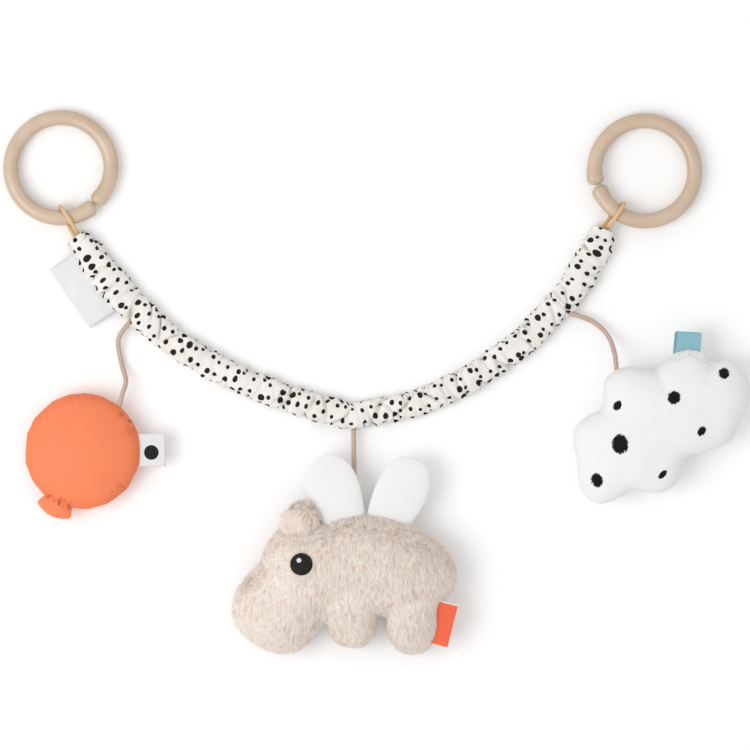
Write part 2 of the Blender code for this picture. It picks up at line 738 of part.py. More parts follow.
def make_balloon():
    middle = BALLOON_THICK / 2 - FLAT_CUT
    centre = on_plan(BALLOON_CENTRE_SHARES, middle)
    entry = on_plan(BALLOON_ENTRY_SHARES, middle, BALLOON_DIAMETER, centre)
    into = (entry - on_plan(BALLOON_CORD_SHARES[-1], middle)).normalized()
    start = sleeve_exit(BALLOON_EXIT_SHARE, -1)
    swing = pivot("balloon_cord_pivot", start)
    twist = pivot("balloon_twist_pivot", entry, into, swing)
    socket = cord_socket("balloon", entry, into)
    route = cord_route(start, BALLOON_CORD_SHARES, BALLOON_CORD_HEIGHT_SHARES, entry, into)
    cut(bpy.data.objects["sleeve"], cord_pocket("balloon", route))
    carried(make_cord("balloon_cord", route), swing)
    form = Pillow(centre, BALLOON_THICK, balloon_rim(centre), BALLOON_RINGS)
    pieces = make_pillow(form, "balloon", "balloon_satin", BALLOON_SATIN, socket)
    grown = as_cutter(form.solid("balloon_outside_cutter", cutters, GAP))

    out = Vector((cos(BALLOON_TAB_ANGLE), sin(BALLOON_TAB_ANGLE), 0))
    base = centre + out * (BALLOON_DIAMETER / 2 - OVERRUN / 2)
    tab = folded_tape("balloon_tab", BALLOON_TAB_WIDTH, BALLOON_TAB_REACH + OVERRUN / 2,
                      BALLOON_TAB_FOLD, base, out)
    pieces.append(dress(cut(tab, grown), "white_tape", SATIN_TAPE))

    out = Vector((cos(NECK_ANGLE), sin(NECK_ANGLE), 0))
    side = Vector((-out.y, out.x, 0))
    base = centre + out * (BALLOON_DIAMETER / 2 - OVERRUN)
    rings = []
    for (share, flare), thin in zip(NECK_FLARE_SHARES, NECK_THICK_SHARES):
        wide = NECK_WIDTH + (NECK_FLARE_WIDTH - NECK_WIDTH) * flare
        middle_of_ring = base + out * share * (NECK_LENGTH + OVERRUN)
        ring = []
        for k in range(NECK_SIDES):
            angle = 2 * pi * k / NECK_SIDES
            lift = Vector((0, 0, NECK_THICK * thin / 2 * sin(angle)))
            ring.append(middle_of_ring + side * wide / 2 * cos(angle) + lift)
        rings.append(ring)
    neck = loft("balloon_neck", rings, parts)
    pieces.append(dress(cut(neck, grown), "balloon_satin", BALLOON_SATIN))
    for piece in pieces:
        carried(piece, twist)


# Cloud

def make_cloud():
    middle = CLOUD_THICK / 2 - FLAT_CUT
    centre = on_plan(CLOUD_CENTRE_SHARES, middle)
    entry = on_plan(CLOUD_ENTRY_SHARES, middle, CLOUD_WIDTH, centre)
    into = (entry - on_plan(CLOUD_CORD_SHARES[-1], middle)).normalized()
    start = sleeve_exit(CLOUD_EXIT_SHARE, -1)
    swing = pivot("cloud_cord_pivot", start)
    twist = pivot("cloud_twist_pivot", entry, into, swing)
    socket = cord_socket("cloud", entry, into)
    route = cord_route(start, CLOUD_CORD_SHARES, CLOUD_CORD_HEIGHT_SHARES, entry, into)
    cut(bpy.data.objects["sleeve"], cord_pocket("cloud", route))
    carried(make_cord("cloud_cord", route), swing)
    outline = [on_plan(shares, middle, CLOUD_WIDTH, centre) for shares in CLOUD_OUTLINE_SHARES]
    rim = smooth_route([*outline, outline[0]], CLOUD_STEP)[:-1]
    form = Pillow(centre, CLOUD_THICK, rim, CLOUD_RINGS)
    pieces = make_pillow(form, "cloud", "cloud_plush", CLOUD_PLUSH, socket)
    grown = as_cutter(form.solid("cloud_outside_cutter", cutters, GAP))
    out = Vector((cos(CLOUD_RIBBON_TURN), sin(CLOUD_RIBBON_TURN), 0))
    base = on_plan(CLOUD_RIBBON_SHARES, middle, CLOUD_WIDTH, centre) - out * OVERRUN
    ribbon = folded_tape("cloud_ribbon", CLOUD_RIBBON_WIDTH, CLOUD_RIBBON_REACH + OVERRUN,
                         CLOUD_RIBBON_FOLD, base, out)
    pieces.append(dress(cut(ribbon, grown), "teal_ribbon", RIBBON_TEAL))
    for piece in pieces:
        carried(piece, twist)


# Hippo

def plush(name, centre, half, collection, turn=0.0, taper=0.0, boxy=1.0, grow=0.0,
          size=(20, 10)):
    """A stuffed form: a ball stretched to its half sizes, tapered along its own length."""
    bm = bmesh.new()
    bmesh.ops.create_uvsphere(bm, u_segments=size[0], v_segments=size[1], radius=1.0)
    turned = Matrix.Rotation(turn, 3, "Z")
    for vert in bm.verts:
        x, y, z = (abs(c) ** boxy * (1 if c > 0 else -1) for c in vert.co)
        narrow = 1 + taper * x
        place = Vector((x * (half[0] + grow), y * (half[1] * narrow + grow), z * (half[2] + grow)))
        vert.co = centre + turned @ place
    return from_bmesh(name, bm, collection, floor=-grow)


class Hippo:
    """The hippo's own frame: its pieces are placed by shares of its length."""

    def __init__(self):
        self.middle = HIPPO_THICK / 2 - FLAT_CUT
        self.centre = on_plan(HIPPO_CENTRE_SHARES, self.middle)

    def form(self, name, collection, shares, thick, lift=0.0, **form):
        x, y, along, up = (share * HIPPO_LENGTH for share in shares)
        centre = self.centre + Vector((x, y, lift))
        return plush(name, centre, (along, up, thick / 2), collection=collection, **form)

    def grown(self, name, *shape, **form):
        return as_cutter(self.form(name + "_outside_cutter", cutters, *shape, grow=GAP, **form))

    def piece(self, name, *shape, cut_by=(), values=PLUSH, material="beige_plush", **form):
        made = self.form(name, parts, *shape, **form)
        for cutter in cut_by:
            cut(made, cutter)
        return dress(made, material, values)


def make_hippo():
    hippo = Hippo()
    on_floor = -FLAT_CUT - hippo.middle
    body_shape = dict(turn=HIPPO_BODY_TURN, taper=BODY_TAPER, boxy=BODY_BOXY, size=(24, 12))
    head_shape = dict(boxy=HEAD_BOXY, size=(20, 12), lift=HEAD_THICK / 2 + on_floor)
    muzzle_shape = dict(boxy=MUZZLE_BOXY, taper=MUZZLE_TAPER, lift=MUZZLE_THICK / 2 + on_floor,
                        turn=HIPPO_MUZZLE_TURN)
    leg_shape = dict(boxy=LEG_BOXY, taper=LEG_TAPER, size=(16, 10), turn=LEG_TURN,
                     lift=LEG_THICK / 2 + on_floor)
    body_cut = hippo.grown("hippo_body", HIPPO_BODY_SHARES, HIPPO_THICK, **body_shape)
    head_cut = hippo.grown("hippo_head", HIPPO_HEAD_SHARES, HEAD_THICK, **head_shape)
    leg_cut = hippo.grown("hippo_hind_leg", HIPPO_HIND_LEG_SHARES, LEG_THICK, **leg_shape)
    body = hippo.piece("hippo_body", HIPPO_BODY_SHARES, HIPPO_THICK, **body_shape)

    start = sleeve_exit(HIPPO_EXIT_SHARE, -1)
    aim = on_plan(HIPPO_ENTRY_SHARES, hippo.middle - HIPPO_CORD_DROP, HIPPO_LENGTH, hippo.centre)
    into = (aim - start).normalized()
    entry = BVHTree.FromObject(body, bpy.context.evaluated_depsgraph_get()).ray_cast(start, into)[0]
    swing = pivot("hippo_cord_pivot", start)
    twist = pivot("hippo_twist_pivot", entry, into, swing)
    cut(body, cord_socket("hippo", entry, into))
    inside = entry + into * (CORD_SOCKET_DEPTH - CORD_DIAMETER / 2 - GAP)
    route = [start, start.lerp(inside, 1 / 2), inside]
    cut(bpy.data.objects["sleeve"], cord_pocket("hippo", route))
    carried(make_cord("hippo_cord", route), swing)

    ear_shape = dict(size=(14, 8), cut_by=[head_cut])
    ear_lift = EAR_THICK / 2 + GAP
    wing_shape = dict(taper=WING_TAPER, boxy=WING_BOXY, size=(20, 8),
                      cut_by=[body_cut, head_cut],
                      lift=WING_RAISE, values=VELOUR, material="white_velour")
    pieces = [
        body,
        hippo.piece("hippo_head", HIPPO_HEAD_SHARES, HEAD_THICK, cut_by=[body_cut], **head_shape),
        hippo.piece("hippo_muzzle", HIPPO_MUZZLE_SHARES, MUZZLE_THICK,
                    cut_by=[head_cut, body_cut], **muzzle_shape),
        hippo.piece("hippo_front_leg", HIPPO_FRONT_LEG_SHARES, LEG_THICK,
                    cut_by=[body_cut, head_cut], **leg_shape),
        hippo.piece("hippo_hind_leg", HIPPO_HIND_LEG_SHARES, LEG_THICK, cut_by=[body_cut],
                    **leg_shape),
        hippo.piece("hippo_ear_near", HIPPO_EAR_NEAR_SHARES, EAR_THICK, lift=ear_lift,
                    **ear_shape),
        hippo.piece("hippo_ear_far", HIPPO_EAR_FAR_SHARES, EAR_THICK, lift=-ear_lift,
                    **ear_shape),
        hippo.piece("hippo_wing_left", HIPPO_WING_LEFT_SHARES, WING_THICK,
                    turn=HIPPO_WING_LEFT_TURN, **wing_shape),
        hippo.piece("hippo_wing_right", HIPPO_WING_RIGHT_SHARES, WING_THICK,
                    turn=HIPPO_WING_RIGHT_TURN, **wing_shape),
    ]
    eye_lift = on_floor + HEAD_THICK - EYE_PROUD
    pieces.append(hippo.piece("hippo_eye", HIPPO_EYE_SHARES, EYE_PROUD * 4, lift=eye_lift,
                              size=(14, 8), cut_by=[head_cut], values=EYE_THREAD,
                              material="eye_thread"))
    out = Vector((cos(HIPPO_LABEL_TURN), sin(HIPPO_LABEL_TURN), 0))
    x, y = (share * HIPPO_LENGTH for share in HIPPO_LABEL_SHARES)
    base = hippo.centre + Vector((x, y, LEG_THICK / 2 + on_floor))
    label = folded_tape("hippo_label", HIPPO_LABEL_WIDTH, HIPPO_LABEL_REACH, HIPPO_LABEL_FOLD,
                        base, out)
    cut(label, body_cut)
    pieces.append(dress(cut(label, leg_cut), "orange_satin", TAG_SATIN))
    for piece in pieces:
        carried(piece, twist)


# Chain

def make_chain():
    sleeve = dress(make_sleeve(), "printed_cotton", COTTON)
    dress(make_elastic_band(), "white_elastic", BAND_RUBBER)

    centre, ahead, left = sleeve_spot(SLEEVE_LABEL_SHARE)
    out = Matrix.Rotation(SLEEVE_LABEL_SKEW, 3, "Z") @ -left
    base = centre - left * (sleeve_half_width(SLEEVE_LABEL_SHARE) + GAP)
    label = folded_tape("sleeve_label", SLEEVE_LABEL_WIDTH, SLEEVE_LABEL_REACH,
                        SLEEVE_LABEL_FOLD, base + out * OVERRUN, out, SLEEVE_LABEL_DROOP)
    dress(label, "white_satin", SATIN_TAPE)

    for end in (End(True), End(False)):
        swing = pivot(end.name + "_loop_pivot", end.pivot)
        spin = pivot(end.name + "_ring_pivot", end.centre, end.axis, swing)
        carried(dress(make_loop(end), "loop_elastic", ELASTIC), swing)
        carried(dress(make_ring(end), "ring_plastic", RING_PLASTIC), spin)


clear_scene()
parts = new_collection("pram_chain_toy")
cutters = new_collection("cutters")
make_chain()
make_balloon()
make_cloud()
make_hippo()
bpy.context.view_layer.update()
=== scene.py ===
# %% [markdown]
# # A pram chain toy, laid out flat
#
# The toy is a ruched cotton sleeve on elastic, with a split ring at each end and three stuffed
# toys on cords: a balloon, a hippo and a cloud. The CAD model already holds every piece as a plain
# solid. Here each solid gets its real surface: gathers, seams, pile, braid and print.

import bpy
import bmesh
import numpy as np
from math import atan2, copysign, cos, exp, hypot, pi, radians, sin
from mathutils import Matrix, Vector, geometry, noise


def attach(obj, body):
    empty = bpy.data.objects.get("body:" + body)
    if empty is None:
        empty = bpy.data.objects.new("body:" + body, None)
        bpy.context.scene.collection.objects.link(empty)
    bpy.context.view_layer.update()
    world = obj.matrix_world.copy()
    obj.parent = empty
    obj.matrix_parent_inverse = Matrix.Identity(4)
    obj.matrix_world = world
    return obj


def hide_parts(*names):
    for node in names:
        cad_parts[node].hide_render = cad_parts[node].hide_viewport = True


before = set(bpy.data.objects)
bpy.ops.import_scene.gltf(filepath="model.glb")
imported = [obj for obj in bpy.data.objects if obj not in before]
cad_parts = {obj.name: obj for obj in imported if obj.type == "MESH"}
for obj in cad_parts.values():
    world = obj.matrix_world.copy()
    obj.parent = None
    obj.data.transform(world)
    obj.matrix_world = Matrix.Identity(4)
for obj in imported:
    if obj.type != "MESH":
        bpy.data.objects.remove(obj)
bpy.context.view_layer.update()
bpy.ops.object.select_all(action="DESELECT")

# %% [markdown]
# ## Camera
#
# The photograph looks straight down on the table through a long lens, so the view is nearly
# without perspective. A long lens far above gives the same; 450 mm of table fill the square frame.

# %% Camera over the table
FRAME_WIDTH = 0.4495
VIEW_HEIGHT = 4.00
VIEW_CENTRE = (0.0004, 0.0033)
TOY_LEVEL = 0.008

lens = bpy.data.cameras.new("camera_over_table")
lens.sensor_width = 36.0
lens.lens = lens.sensor_width * (VIEW_HEIGHT - TOY_LEVEL) / FRAME_WIDTH
lens.clip_end = 20.0
camera = bpy.data.objects.new("camera_over_table", lens)
camera.location = (*VIEW_CENTRE, VIEW_HEIGHT)
bpy.context.scene.collection.objects.link(camera)
bpy.context.scene.camera = camera
print("Lens:", round(lens.lens, 1), "mm")

# %% [markdown]
# ## A way to write finishes
#
# A finish is a sum over patterns: so much noise, so much weave. `Wire` wraps a socket so that the
# sum is written as a sum, and each operator adds the Math node it stands for. Any other node comes
# from `Finish.node`.

# %% Wire
class Wire:
    """An output of a shader node, which can stand in a sum as a number can."""

    def __init__(self, finish, socket):
        self.finish, self.socket = finish, socket

    def math(self, operation, *others):
        values = dict(enumerate((self, *others)))
        return self.finish.node("Math", {"operation": operation}, values)

    def __add__(self, other):
        return self.math("ADD", other)

    def __mul__(self, other):
        return self.math("MULTIPLY", other)

    def __sub__(self, other):
        return self.math("SUBTRACT", other)

    def __rsub__(self, other):
        return (self * -1) + other

    def __truediv__(self, other):
        return self.math("DIVIDE", other)

    def __pow__(self, other):
        return self.math("POWER", other)

    __radd__, __rmul__ = __add__, __mul__

    def between(self, low, high):
        """0 below low and 1 above high, with a soft step from one to the other."""
        return self.finish.node("MapRange", {"interpolation_type": "SMOOTHSTEP"},
                                {"Value": self, "From Min": low, "From Max": high})

    def wave(self, pitch):
        """A sine with one crest in each pitch."""
        return (self * (2 * pi / pitch)).math("SINE")

    def ribs(self, pitch):
        """The same between 0 and 1."""
        return self.wave(pitch) * 0.5 + 0.5


print("A wire in a sum adds its Math node")

# %% Finish
class Finish:
    """A material around one Principled shader."""

    def __init__(self, name, roughness, **fixed):
        self.material = bpy.data.materials.new(name)
        self.material.use_nodes = True
        self.tree = self.material.node_tree
        self.shader = self.tree.nodes["Principled BSDF"]
        self.roughen(roughness)
        for socket, value in fixed.items():
            self.plug(self.shader.inputs[socket.replace("_", " ")], value)

    def plug(self, socket, value):
        if isinstance(value, Wire):
            self.tree.links.new(value.socket, socket)
        else:
            socket.default_value = value

    def node(self, kind, settings=None, values=None, output=0):
        made = self.tree.nodes.new("ShaderNode" + kind)
        for setting, value in (settings or {}).items():
            setattr(made, setting, value)
        for socket, value in (values or {}).items():
            self.plug(made.inputs[socket], value)
        return Wire(self, made.outputs[output])

    def place(self):
        return self.node("TexCoord", output="Object")

    def along(self):
        """The piece's own map: metres along it, and the way across or round it."""
        return self.node("TexCoord", output="UV")

    def carried(self, name):
        """A value that the piece's points carry."""
        return self.node("Attribute", {"attribute_name": name}, output=2)

    def axes(self, place=None):
        place = place or self.place()
        return [self.node("SeparateXYZ", None, {0: place}, output=k) for k in range(3)]

    def away_from(self, centre):
        """Metres in x and in y from a centre, and straight."""
        x, y, _ = self.axes()
        off_x, off_y = x - centre[0], y - centre[1]
        return off_x, off_y, (off_x * off_x + off_y * off_y).math("SQRT")

    def stretched(self, x, y, z):
        return self.node("Mapping", None, {"Vector": self.place(), "Scale": (x, y, z)})

    def noise(self, scale, detail=2.0, rough=0.5, place=None):
        return self.node("TexNoise", None, {"Vector": place or self.place(), "Scale": scale,
                                            "Detail": detail, "Roughness": rough})

    def mix(self, share, first, second):
        first, second = (c if isinstance(c, Wire) else (*c, 1.0) for c in (first, second))
        values = {0: share, 6: first, 7: second}
        return self.node("Mix", {"data_type": "RGBA"}, values, output=2)

    def bump(self, height, distance, strength=1.0):
        values = {"Height": height, "Distance": distance, "Strength": strength}
        self.plug(self.shader.inputs["Normal"], self.node("Bump", None, values))

    def paint(self, color):
        self.plug(self.shader.inputs["Base Color"], color)

    def two_tone(self, pattern, low, high, distance):
        """The pattern runs from one tone to the other and stands out by a distance."""
        self.paint(self.mix(pattern, low, high))
        self.bump(pattern, distance)

    def roughen(self, roughness):
        self.plug(self.shader.inputs["Roughness"], roughness)


print("Finishes are written as sums of Wires")

# %% [markdown]
# ## Floor and light
#
# The table is plain white. A large soft lamp to the lower left throws the short soft shadows that
# fall to the right and up, and a pale world fills them. The floor adds a little of its own light
# for the camera only, so it reads as white while the shadow on it stays.

# %% Floor
FLOOR_LIFT = 0.06
paper = Finish("white_table", 0.9, Base_Color=(0.93, 0.93, 0.93, 1.0))
seen, mirrored = (paper.node("LightPath", output=ray) for ray in ("Is Camera Ray", "Is Glossy Ray"))
lift = seen.math("MAXIMUM", mirrored) * FLOOR_LIFT
glow = paper.node("Emission", None, {"Strength": lift})
both = paper.node("AddShader", None, {0: Wire(paper, paper.shader.outputs[0]), 1: glow})
paper.plug(paper.tree.nodes["Material Output"].inputs["Surface"], both)
bpy.ops.mesh.primitive_plane_add(size=6.0, location=(0, 0, -0.0001))
floor = bpy.context.object
floor.name = "floor"
floor.data.materials.append(paper.material)
print("Floor at z =", floor.location.z)

# %% Lamp and world
WORLD_STRENGTH = 0.80
LAMP_PLACE = Vector((-1.00, -0.30, 1.40))
LAMP_SIZE = 1.10
LAMP_POWER = 12.0
world = bpy.data.worlds.new("pale_room")
bpy.context.scene.world = world
world.use_nodes = True
world.node_tree.nodes["Background"].inputs["Color"].default_value = (1, 1, 1, 1)
world.node_tree.nodes["Background"].inputs["Strength"].default_value = WORLD_STRENGTH
lamp_data = bpy.data.lights.new("soft_lamp", "AREA")
lamp_data.shape = "SQUARE"
lamp_data.size = LAMP_SIZE
lamp_data.energy = LAMP_POWER
lamp = bpy.data.objects.new("soft_lamp", lamp_data)
lamp.location = LAMP_PLACE
lamp.rotation_euler = (-LAMP_PLACE).to_track_quat("-Z", "Y").to_euler()
bpy.context.scene.collection.objects.link(lamp)
bpy.context.scene.view_settings.view_transform = "Standard"
print("Lamp distance:", round(LAMP_PLACE.length, 2), "m")

# %% [markdown]
# ## Routes and skins
#
# Cords, loops and the sleeve all follow a smooth line through a few chosen places. One helper
# gives evenly spaced points on such a line, and another lays a skin of rings over them, with a map
# that holds metres along and the share round, so that braid and print follow the piece.

# %% Smooth line through places
PIXEL = 0.0006
MIDDLE_PIXEL = (374.0, 380.5)
CURVE_PIECES = 12


def smooth_route(places, step):
    """Even steps along a smooth line through the places."""
    points = [Vector(p) for p in places]
    knots = [2 * points[0] - points[1], *points, 2 * points[-1] - points[-2]]
    fine = []
    for a, b, c, d in zip(knots, knots[1:], knots[2:], knots[3:]):
        for k in range(CURVE_PIECES):
            t = k / CURVE_PIECES
            bend = (2 * a - 5 * b + 4 * c - d) * t ** 2 + (3 * b - a - 3 * c + d) * t ** 3
            fine.append((2 * b + (c - a) * t + bend) / 2)
    fine.append(points[-1])
    runs = [0.0]
    for a, b in zip(fine, fine[1:]):
        runs.append(runs[-1] + (b - a).length)
    count = max(2, round(runs[-1] / step))
    even, at = [], 0
    for k in range(count + 1):
        goal = runs[-1] * k / count
        while at < len(runs) - 2 and runs[at + 1] < goal:
            at += 1
        share = (goal - runs[at]) / (runs[at + 1] - runs[at])
        even.append(fine[at].lerp(fine[at + 1], min(1.0, share)))
    return even


def length_of(route):
    return sum((b - a).length for a, b in zip(route, route[1:]))


def heading(route, k):
    """The way a route goes at one of its points."""
    return (route[min(k + 1, len(route) - 1)] - route[max(k - 1, 0)]).normalized()


def on_plan(u, v, z=0.0):
    """Metres from a place in the photograph's pixels."""
    return Vector(((u - MIDDLE_PIXEL[0]) * PIXEL, (MIDDLE_PIXEL[1] - v) * PIXEL, z))


print("A test line is", round(length_of(smooth_route([(0, 0, 0), (1, 0, 0), (1, 1, 0)], 0.1)), 2))

# %% Skin of rings
def cloth_of_rows(rows, runs, across):
    """Faces over rows of places, with a map of metres along and the way across."""
    bm = bmesh.new()
    chart = bm.loops.layers.uv.new("along")
    grid = [[bm.verts.new(place) for place in row] for row in rows]
    for k, (low, high) in enumerate(zip(grid, grid[1:])):
        for c in range(len(across) - 1):
            follow = (c + 1) % len(low)
            face = bm.faces.new((low[c], low[follow], high[follow], high[c]))
            corners = ((k, c), (k, c + 1), (k + 1, c + 1), (k + 1, c))
            for loop, (row, column) in zip(face.loops, corners):
                loop[chart].uv = (runs[row], across[column])
    return bm, grid, chart


def skin_of_rings(name, rings, runs):
    """A tube over rings of places, closed at both ends."""
    sides = len(rings[0])
    bm, grid, chart = cloth_of_rows(rings, runs, [n / sides for n in range(sides + 1)])
    for ring, run in ((grid[0], runs[0]), (grid[-1], runs[-1])):
        for loop in bm.faces.new(ring).loops:
            loop[chart].uv = (run, 0.0)
    return new_piece(name, bm)


def as_piece(name, mesh):
    mesh.shade_smooth()
    piece = bpy.data.objects.new(name, mesh)
    bpy.context.scene.collection.objects.link(piece)
    return piece


def new_piece(name, bm):
    bmesh.ops.recalc_face_normals(bm, faces=bm.faces)
    mesh = bpy.data.meshes.new(name)
    bm.to_mesh(mesh)
    bm.free()
    return as_piece(name, mesh)


print("Skins carry a map named along")

# %% Round cord
CORD_SIDES = 24
CORD_END = ((0.0, 0.20), (0.06, 0.45), (0.20, 0.72), (0.45, 0.92), (0.75, 1.0))


def turns(count):
    """Even angles once round."""
    return [2 * pi * n / count for n in range(count)]


def cord_skin(name, points, radius):
    """A round cord along the points; CORD_END rounds its ends by reach and size."""
    first, last = -heading(points, 0), heading(points, len(points) - 1)
    places = [points[0] + first * radius * (1 - share) for share, _ in CORD_END]
    places += [*points]
    places += [points[-1] + last * radius * (1 - share) for share, _ in reversed(CORD_END)]
    sizes = [size for _, size in CORD_END]
    sizes = sizes + [1.0] * len(points) + sizes[::-1]
    rings, runs, run = [], [], 0.0
    side = Vector((0, 0, 1)).cross(places[1] - places[0])
    if side.length < radius / 100:
        side = Vector((1, 0, 0))
    for k, (place, size) in enumerate(zip(places, sizes)):
        ahead = heading(places, k)
        side = (side - ahead * side.dot(ahead)).normalized()
        up = ahead.cross(side)
        run += (place - places[k - 1]).length if k else 0.0
        runs.append(run)
        rings.append([place + (side * cos(a) + up * sin(a)) * radius * size
                      for a in turns(CORD_SIDES)])
    return skin_of_rings(name, rings, runs)


print("A cord has", CORD_SIDES, "sides")

# %% Hand a piece over
def dress(piece, finish):
    piece.data.materials.clear()
    piece.data.materials.append(finish.material)


def hand_over(piece, body, slot, finish, *nodes):
    """A finished piece takes its finish, its body and the CAD nodes it stands for."""
    dress(piece, finish)
    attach(piece, body)
    if nodes:
        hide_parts(*nodes)
    stood_for = ", ".join(nodes) or "no node"
    print(piece.name, "-", len(piece.data.polygons), "faces, stands for", stood_for)


# %% [markdown]
# ## Toy cords
#
# Each toy hangs on a round braided cord, 3 mm thick. It leaves the sleeve's seam level, comes down
# towards the table and rises again to the seam of its toy. A braid shows as two sets of crossing
# ribs, so the finish adds two slanting waves from the cord's own map, and a wave round the cord for
# the strands that lie along it.

# %% Braid finish
BRAID_PITCH = 0.0020


def braid_finish(name, color, dark, pitch, strands, deep, rough):
    finish = Finish(name, rough, Sheen_Weight=0.25)
    run, turn, _ = finish.axes(finish.along())
    left, right = ((run * (1 / pitch) + turn * (strands * way)).ribs(1.0) for way in (1, -1))
    braid = left.math("MAXIMUM", right)
    wale = turn.ribs(0.5 / strands)
    fuzz = finish.noise(900.0)
    finish.paint(finish.mix(braid * 0.35 + wale * 0.5 + fuzz * 0.2 - 0.05, dark, color))
    finish.bump(braid * 0.5 + wale * 0.8 + fuzz * 0.3, deep)
    return finish


cord_braid = braid_finish("cord_braid", (0.74, 0.57, 0.47), (0.40, 0.27, 0.20), BRAID_PITCH, 3,
                          0.00035, 0.8)
print("Braid ribs every", BRAID_PITCH * 1000, "mm")

# %% Three cords
CORD_DIAMETER = 0.0030
TOY_CORDS = {
    "balloon_cord": ((-0.14649, 0.0355, 0.0049), (-0.15336, 0.0249, 0.00546),
                     (-0.15192, 0.01134, 0.00282), (-0.14886, -0.00012, 0.0081),
                     (-0.15067, -0.00748, 0.0125), (-0.15178, -0.01201, 0.0125),
                     (-0.15251, -0.01496, 0.0125)),
    "hippo_cord": ((-0.01255, -0.02809, 0.0049), (-0.01198, -0.056755, 0.008062),
                   (-0.011395, -0.085422, 0.011224)),
    "cloud_cord": ((0.11634, 0.04079, 0.0049), (0.13158, 0.03492, 0.0045),
                   (0.1404, 0.02616, 0.006), (0.14394, 0.0156, 0.0147),
                   (0.14423, 0.01284, 0.0165), (0.14472, 0.0082, 0.0165),
                   (0.14503, 0.00518, 0.0165)),
}
for name, places in TOY_CORDS.items():
    points = smooth_route(places, 0.0015)
    piece = cord_skin(name + "_braid", points, CORD_DIAMETER / 2)
    hand_over(piece, name + "_body", "cord", cord_braid, name)
    length_of(points)
    print(name, "is", round(length_of(points) * 1000, 1), "mm long")

# %% [markdown]
# ## Split rings
#
# Each ring is a moulded plastic C. Its two ends are blunt domes, slightly swollen, and one stands a
# little nearer the middle than the other, so a notch shows where they meet. A torus is the natural
# start. It is cut open, the band swells towards the cut, and each open end is extruded in steps
# that shrink, which closes it with a dome.

# %% Ring plastic
ring_plastic = Finish("ring_plastic", 0.38, Specular_IOR_Level=0.5, Coat_Weight=0.4,
                      Coat_Roughness=0.2)
clouded = ring_plastic.noise(45.0, 3.0).between(0.3, 0.75)
grain = ring_plastic.noise(1400.0)
outward = ring_plastic.carried("outward")
beige = ring_plastic.mix(clouded, (0.565, 0.422, 0.305), (0.635, 0.490, 0.362))
# Painted shade: the band is painted darker towards its inner and outer sides, so its middle reads
# lighter.
painted_side_shade = (outward * outward).between(0.25, 1.0)
ring_plastic.paint(ring_plastic.mix(painted_side_shade * 0.45, beige, (0.46, 0.315, 0.205)))
ring_plastic.roughen(grain * 0.12 + 0.32)
ring_plastic.bump(grain * 0.4 + clouded * 0.6, 0.00012)
print("Matt moulded plastic, with a fine mould grain")

# %% Band with a cut
BAND_WIDE = 0.0092
BAND_THICK = 0.0086
RING_RADIUS = 0.0301
SPLIT_GAP = 0.0005
OPENING = radians(8)
SWELL = 0.0007
SWELL_RUN = 0.012
OFFSET_TURN = radians(55)


def soft_step(share):
    share = min(1.0, max(0.0, share))
    return share * share * (3 - 2 * share)


def swollen_band(name, offset):
    """A torus cut open at angle 0; the band swells at the cut and one end stands inwards."""
    bpy.ops.object.select_all(action="DESELECT")
    bpy.ops.mesh.primitive_torus_add(major_segments=180, minor_segments=40,
                                     major_radius=RING_RADIUS, minor_radius=BAND_WIDE / 2)
    ring = bpy.context.object
    ring.name = name
    for kind in (ring.data.vertices, ring.data.edges, ring.data.polygons):
        kind.foreach_set("select", [False] * len(kind))
    for face in ring.data.polygons:
        face.select = abs(atan2(face.center.y, face.center.x)) < OPENING
    bpy.ops.object.mode_set(mode="EDIT")
    bpy.ops.mesh.delete(type="FACE")
    bpy.ops.object.mode_set(mode="OBJECT")
    for vert in ring.data.vertices:
        angle = atan2(vert.co.y, vert.co.x)
        run = abs(angle) * RING_RADIUS - SPLIT_GAP / 2
        swell = 1 + SWELL * soft_step(1 - run / SWELL_RUN) / (BAND_WIDE / 2)
        inwards = offset * soft_step(1 - angle / OFFSET_TURN) if angle > 0 else 0.0
        across = (hypot(vert.co.x, vert.co.y) - RING_RADIUS) * swell
        reach = RING_RADIUS - inwards + across
        vert.co = (reach * cos(angle), reach * sin(angle),
                   vert.co.z * swell * BAND_THICK / BAND_WIDE)
    return ring


print("The band is", BAND_WIDE * 1000, "by", BAND_THICK * 1000, "mm")

# %% Domed ends
DOME_STEPS = 12
DOME_POWER = 0.42


def dome_end(ring, side, offset):
    """Extrude one open end in steps that shrink, and close it."""
    reach = RING_RADIUS - (offset if side > 0 else 0.0)
    long = OPENING - SPLIT_GAP / 2 / RING_RADIUS
    for vert in ring.data.vertices:
        vert.select = abs(atan2(vert.co.y, vert.co.x) - side * OPENING) < radians(0.3)
    bpy.ops.object.mode_set(mode="EDIT")
    centre, size = Vector((cos(OPENING), side * sin(OPENING), 0)) * reach, 1.0
    for k in range(DOME_STEPS - 1, 0, -1):
        left = 1 - cos(pi / 2 * k / DOME_STEPS)
        angle = side * (OPENING - long * (1 - left))
        after = Vector((cos(angle), sin(angle), 0)) * reach
        shrunk = (1 - (1 - left) ** 2) ** DOME_POWER
        bpy.ops.mesh.extrude_region_move(TRANSFORM_OT_translate={"value": after - centre})
        bpy.ops.transform.resize(value=(shrunk / size,) * 3, center_override=after)
        centre, size = after, shrunk
    bpy.ops.mesh.edge_face_add()
    bpy.ops.mesh.select_all(action="DESELECT")
    bpy.ops.object.mode_set(mode="OBJECT")


def carry(piece, name, values):
    """Each point of a piece carries a value, which its finish reads."""
    piece.data.attributes.new(name, "FLOAT", "POINT").data.foreach_set("value", values)


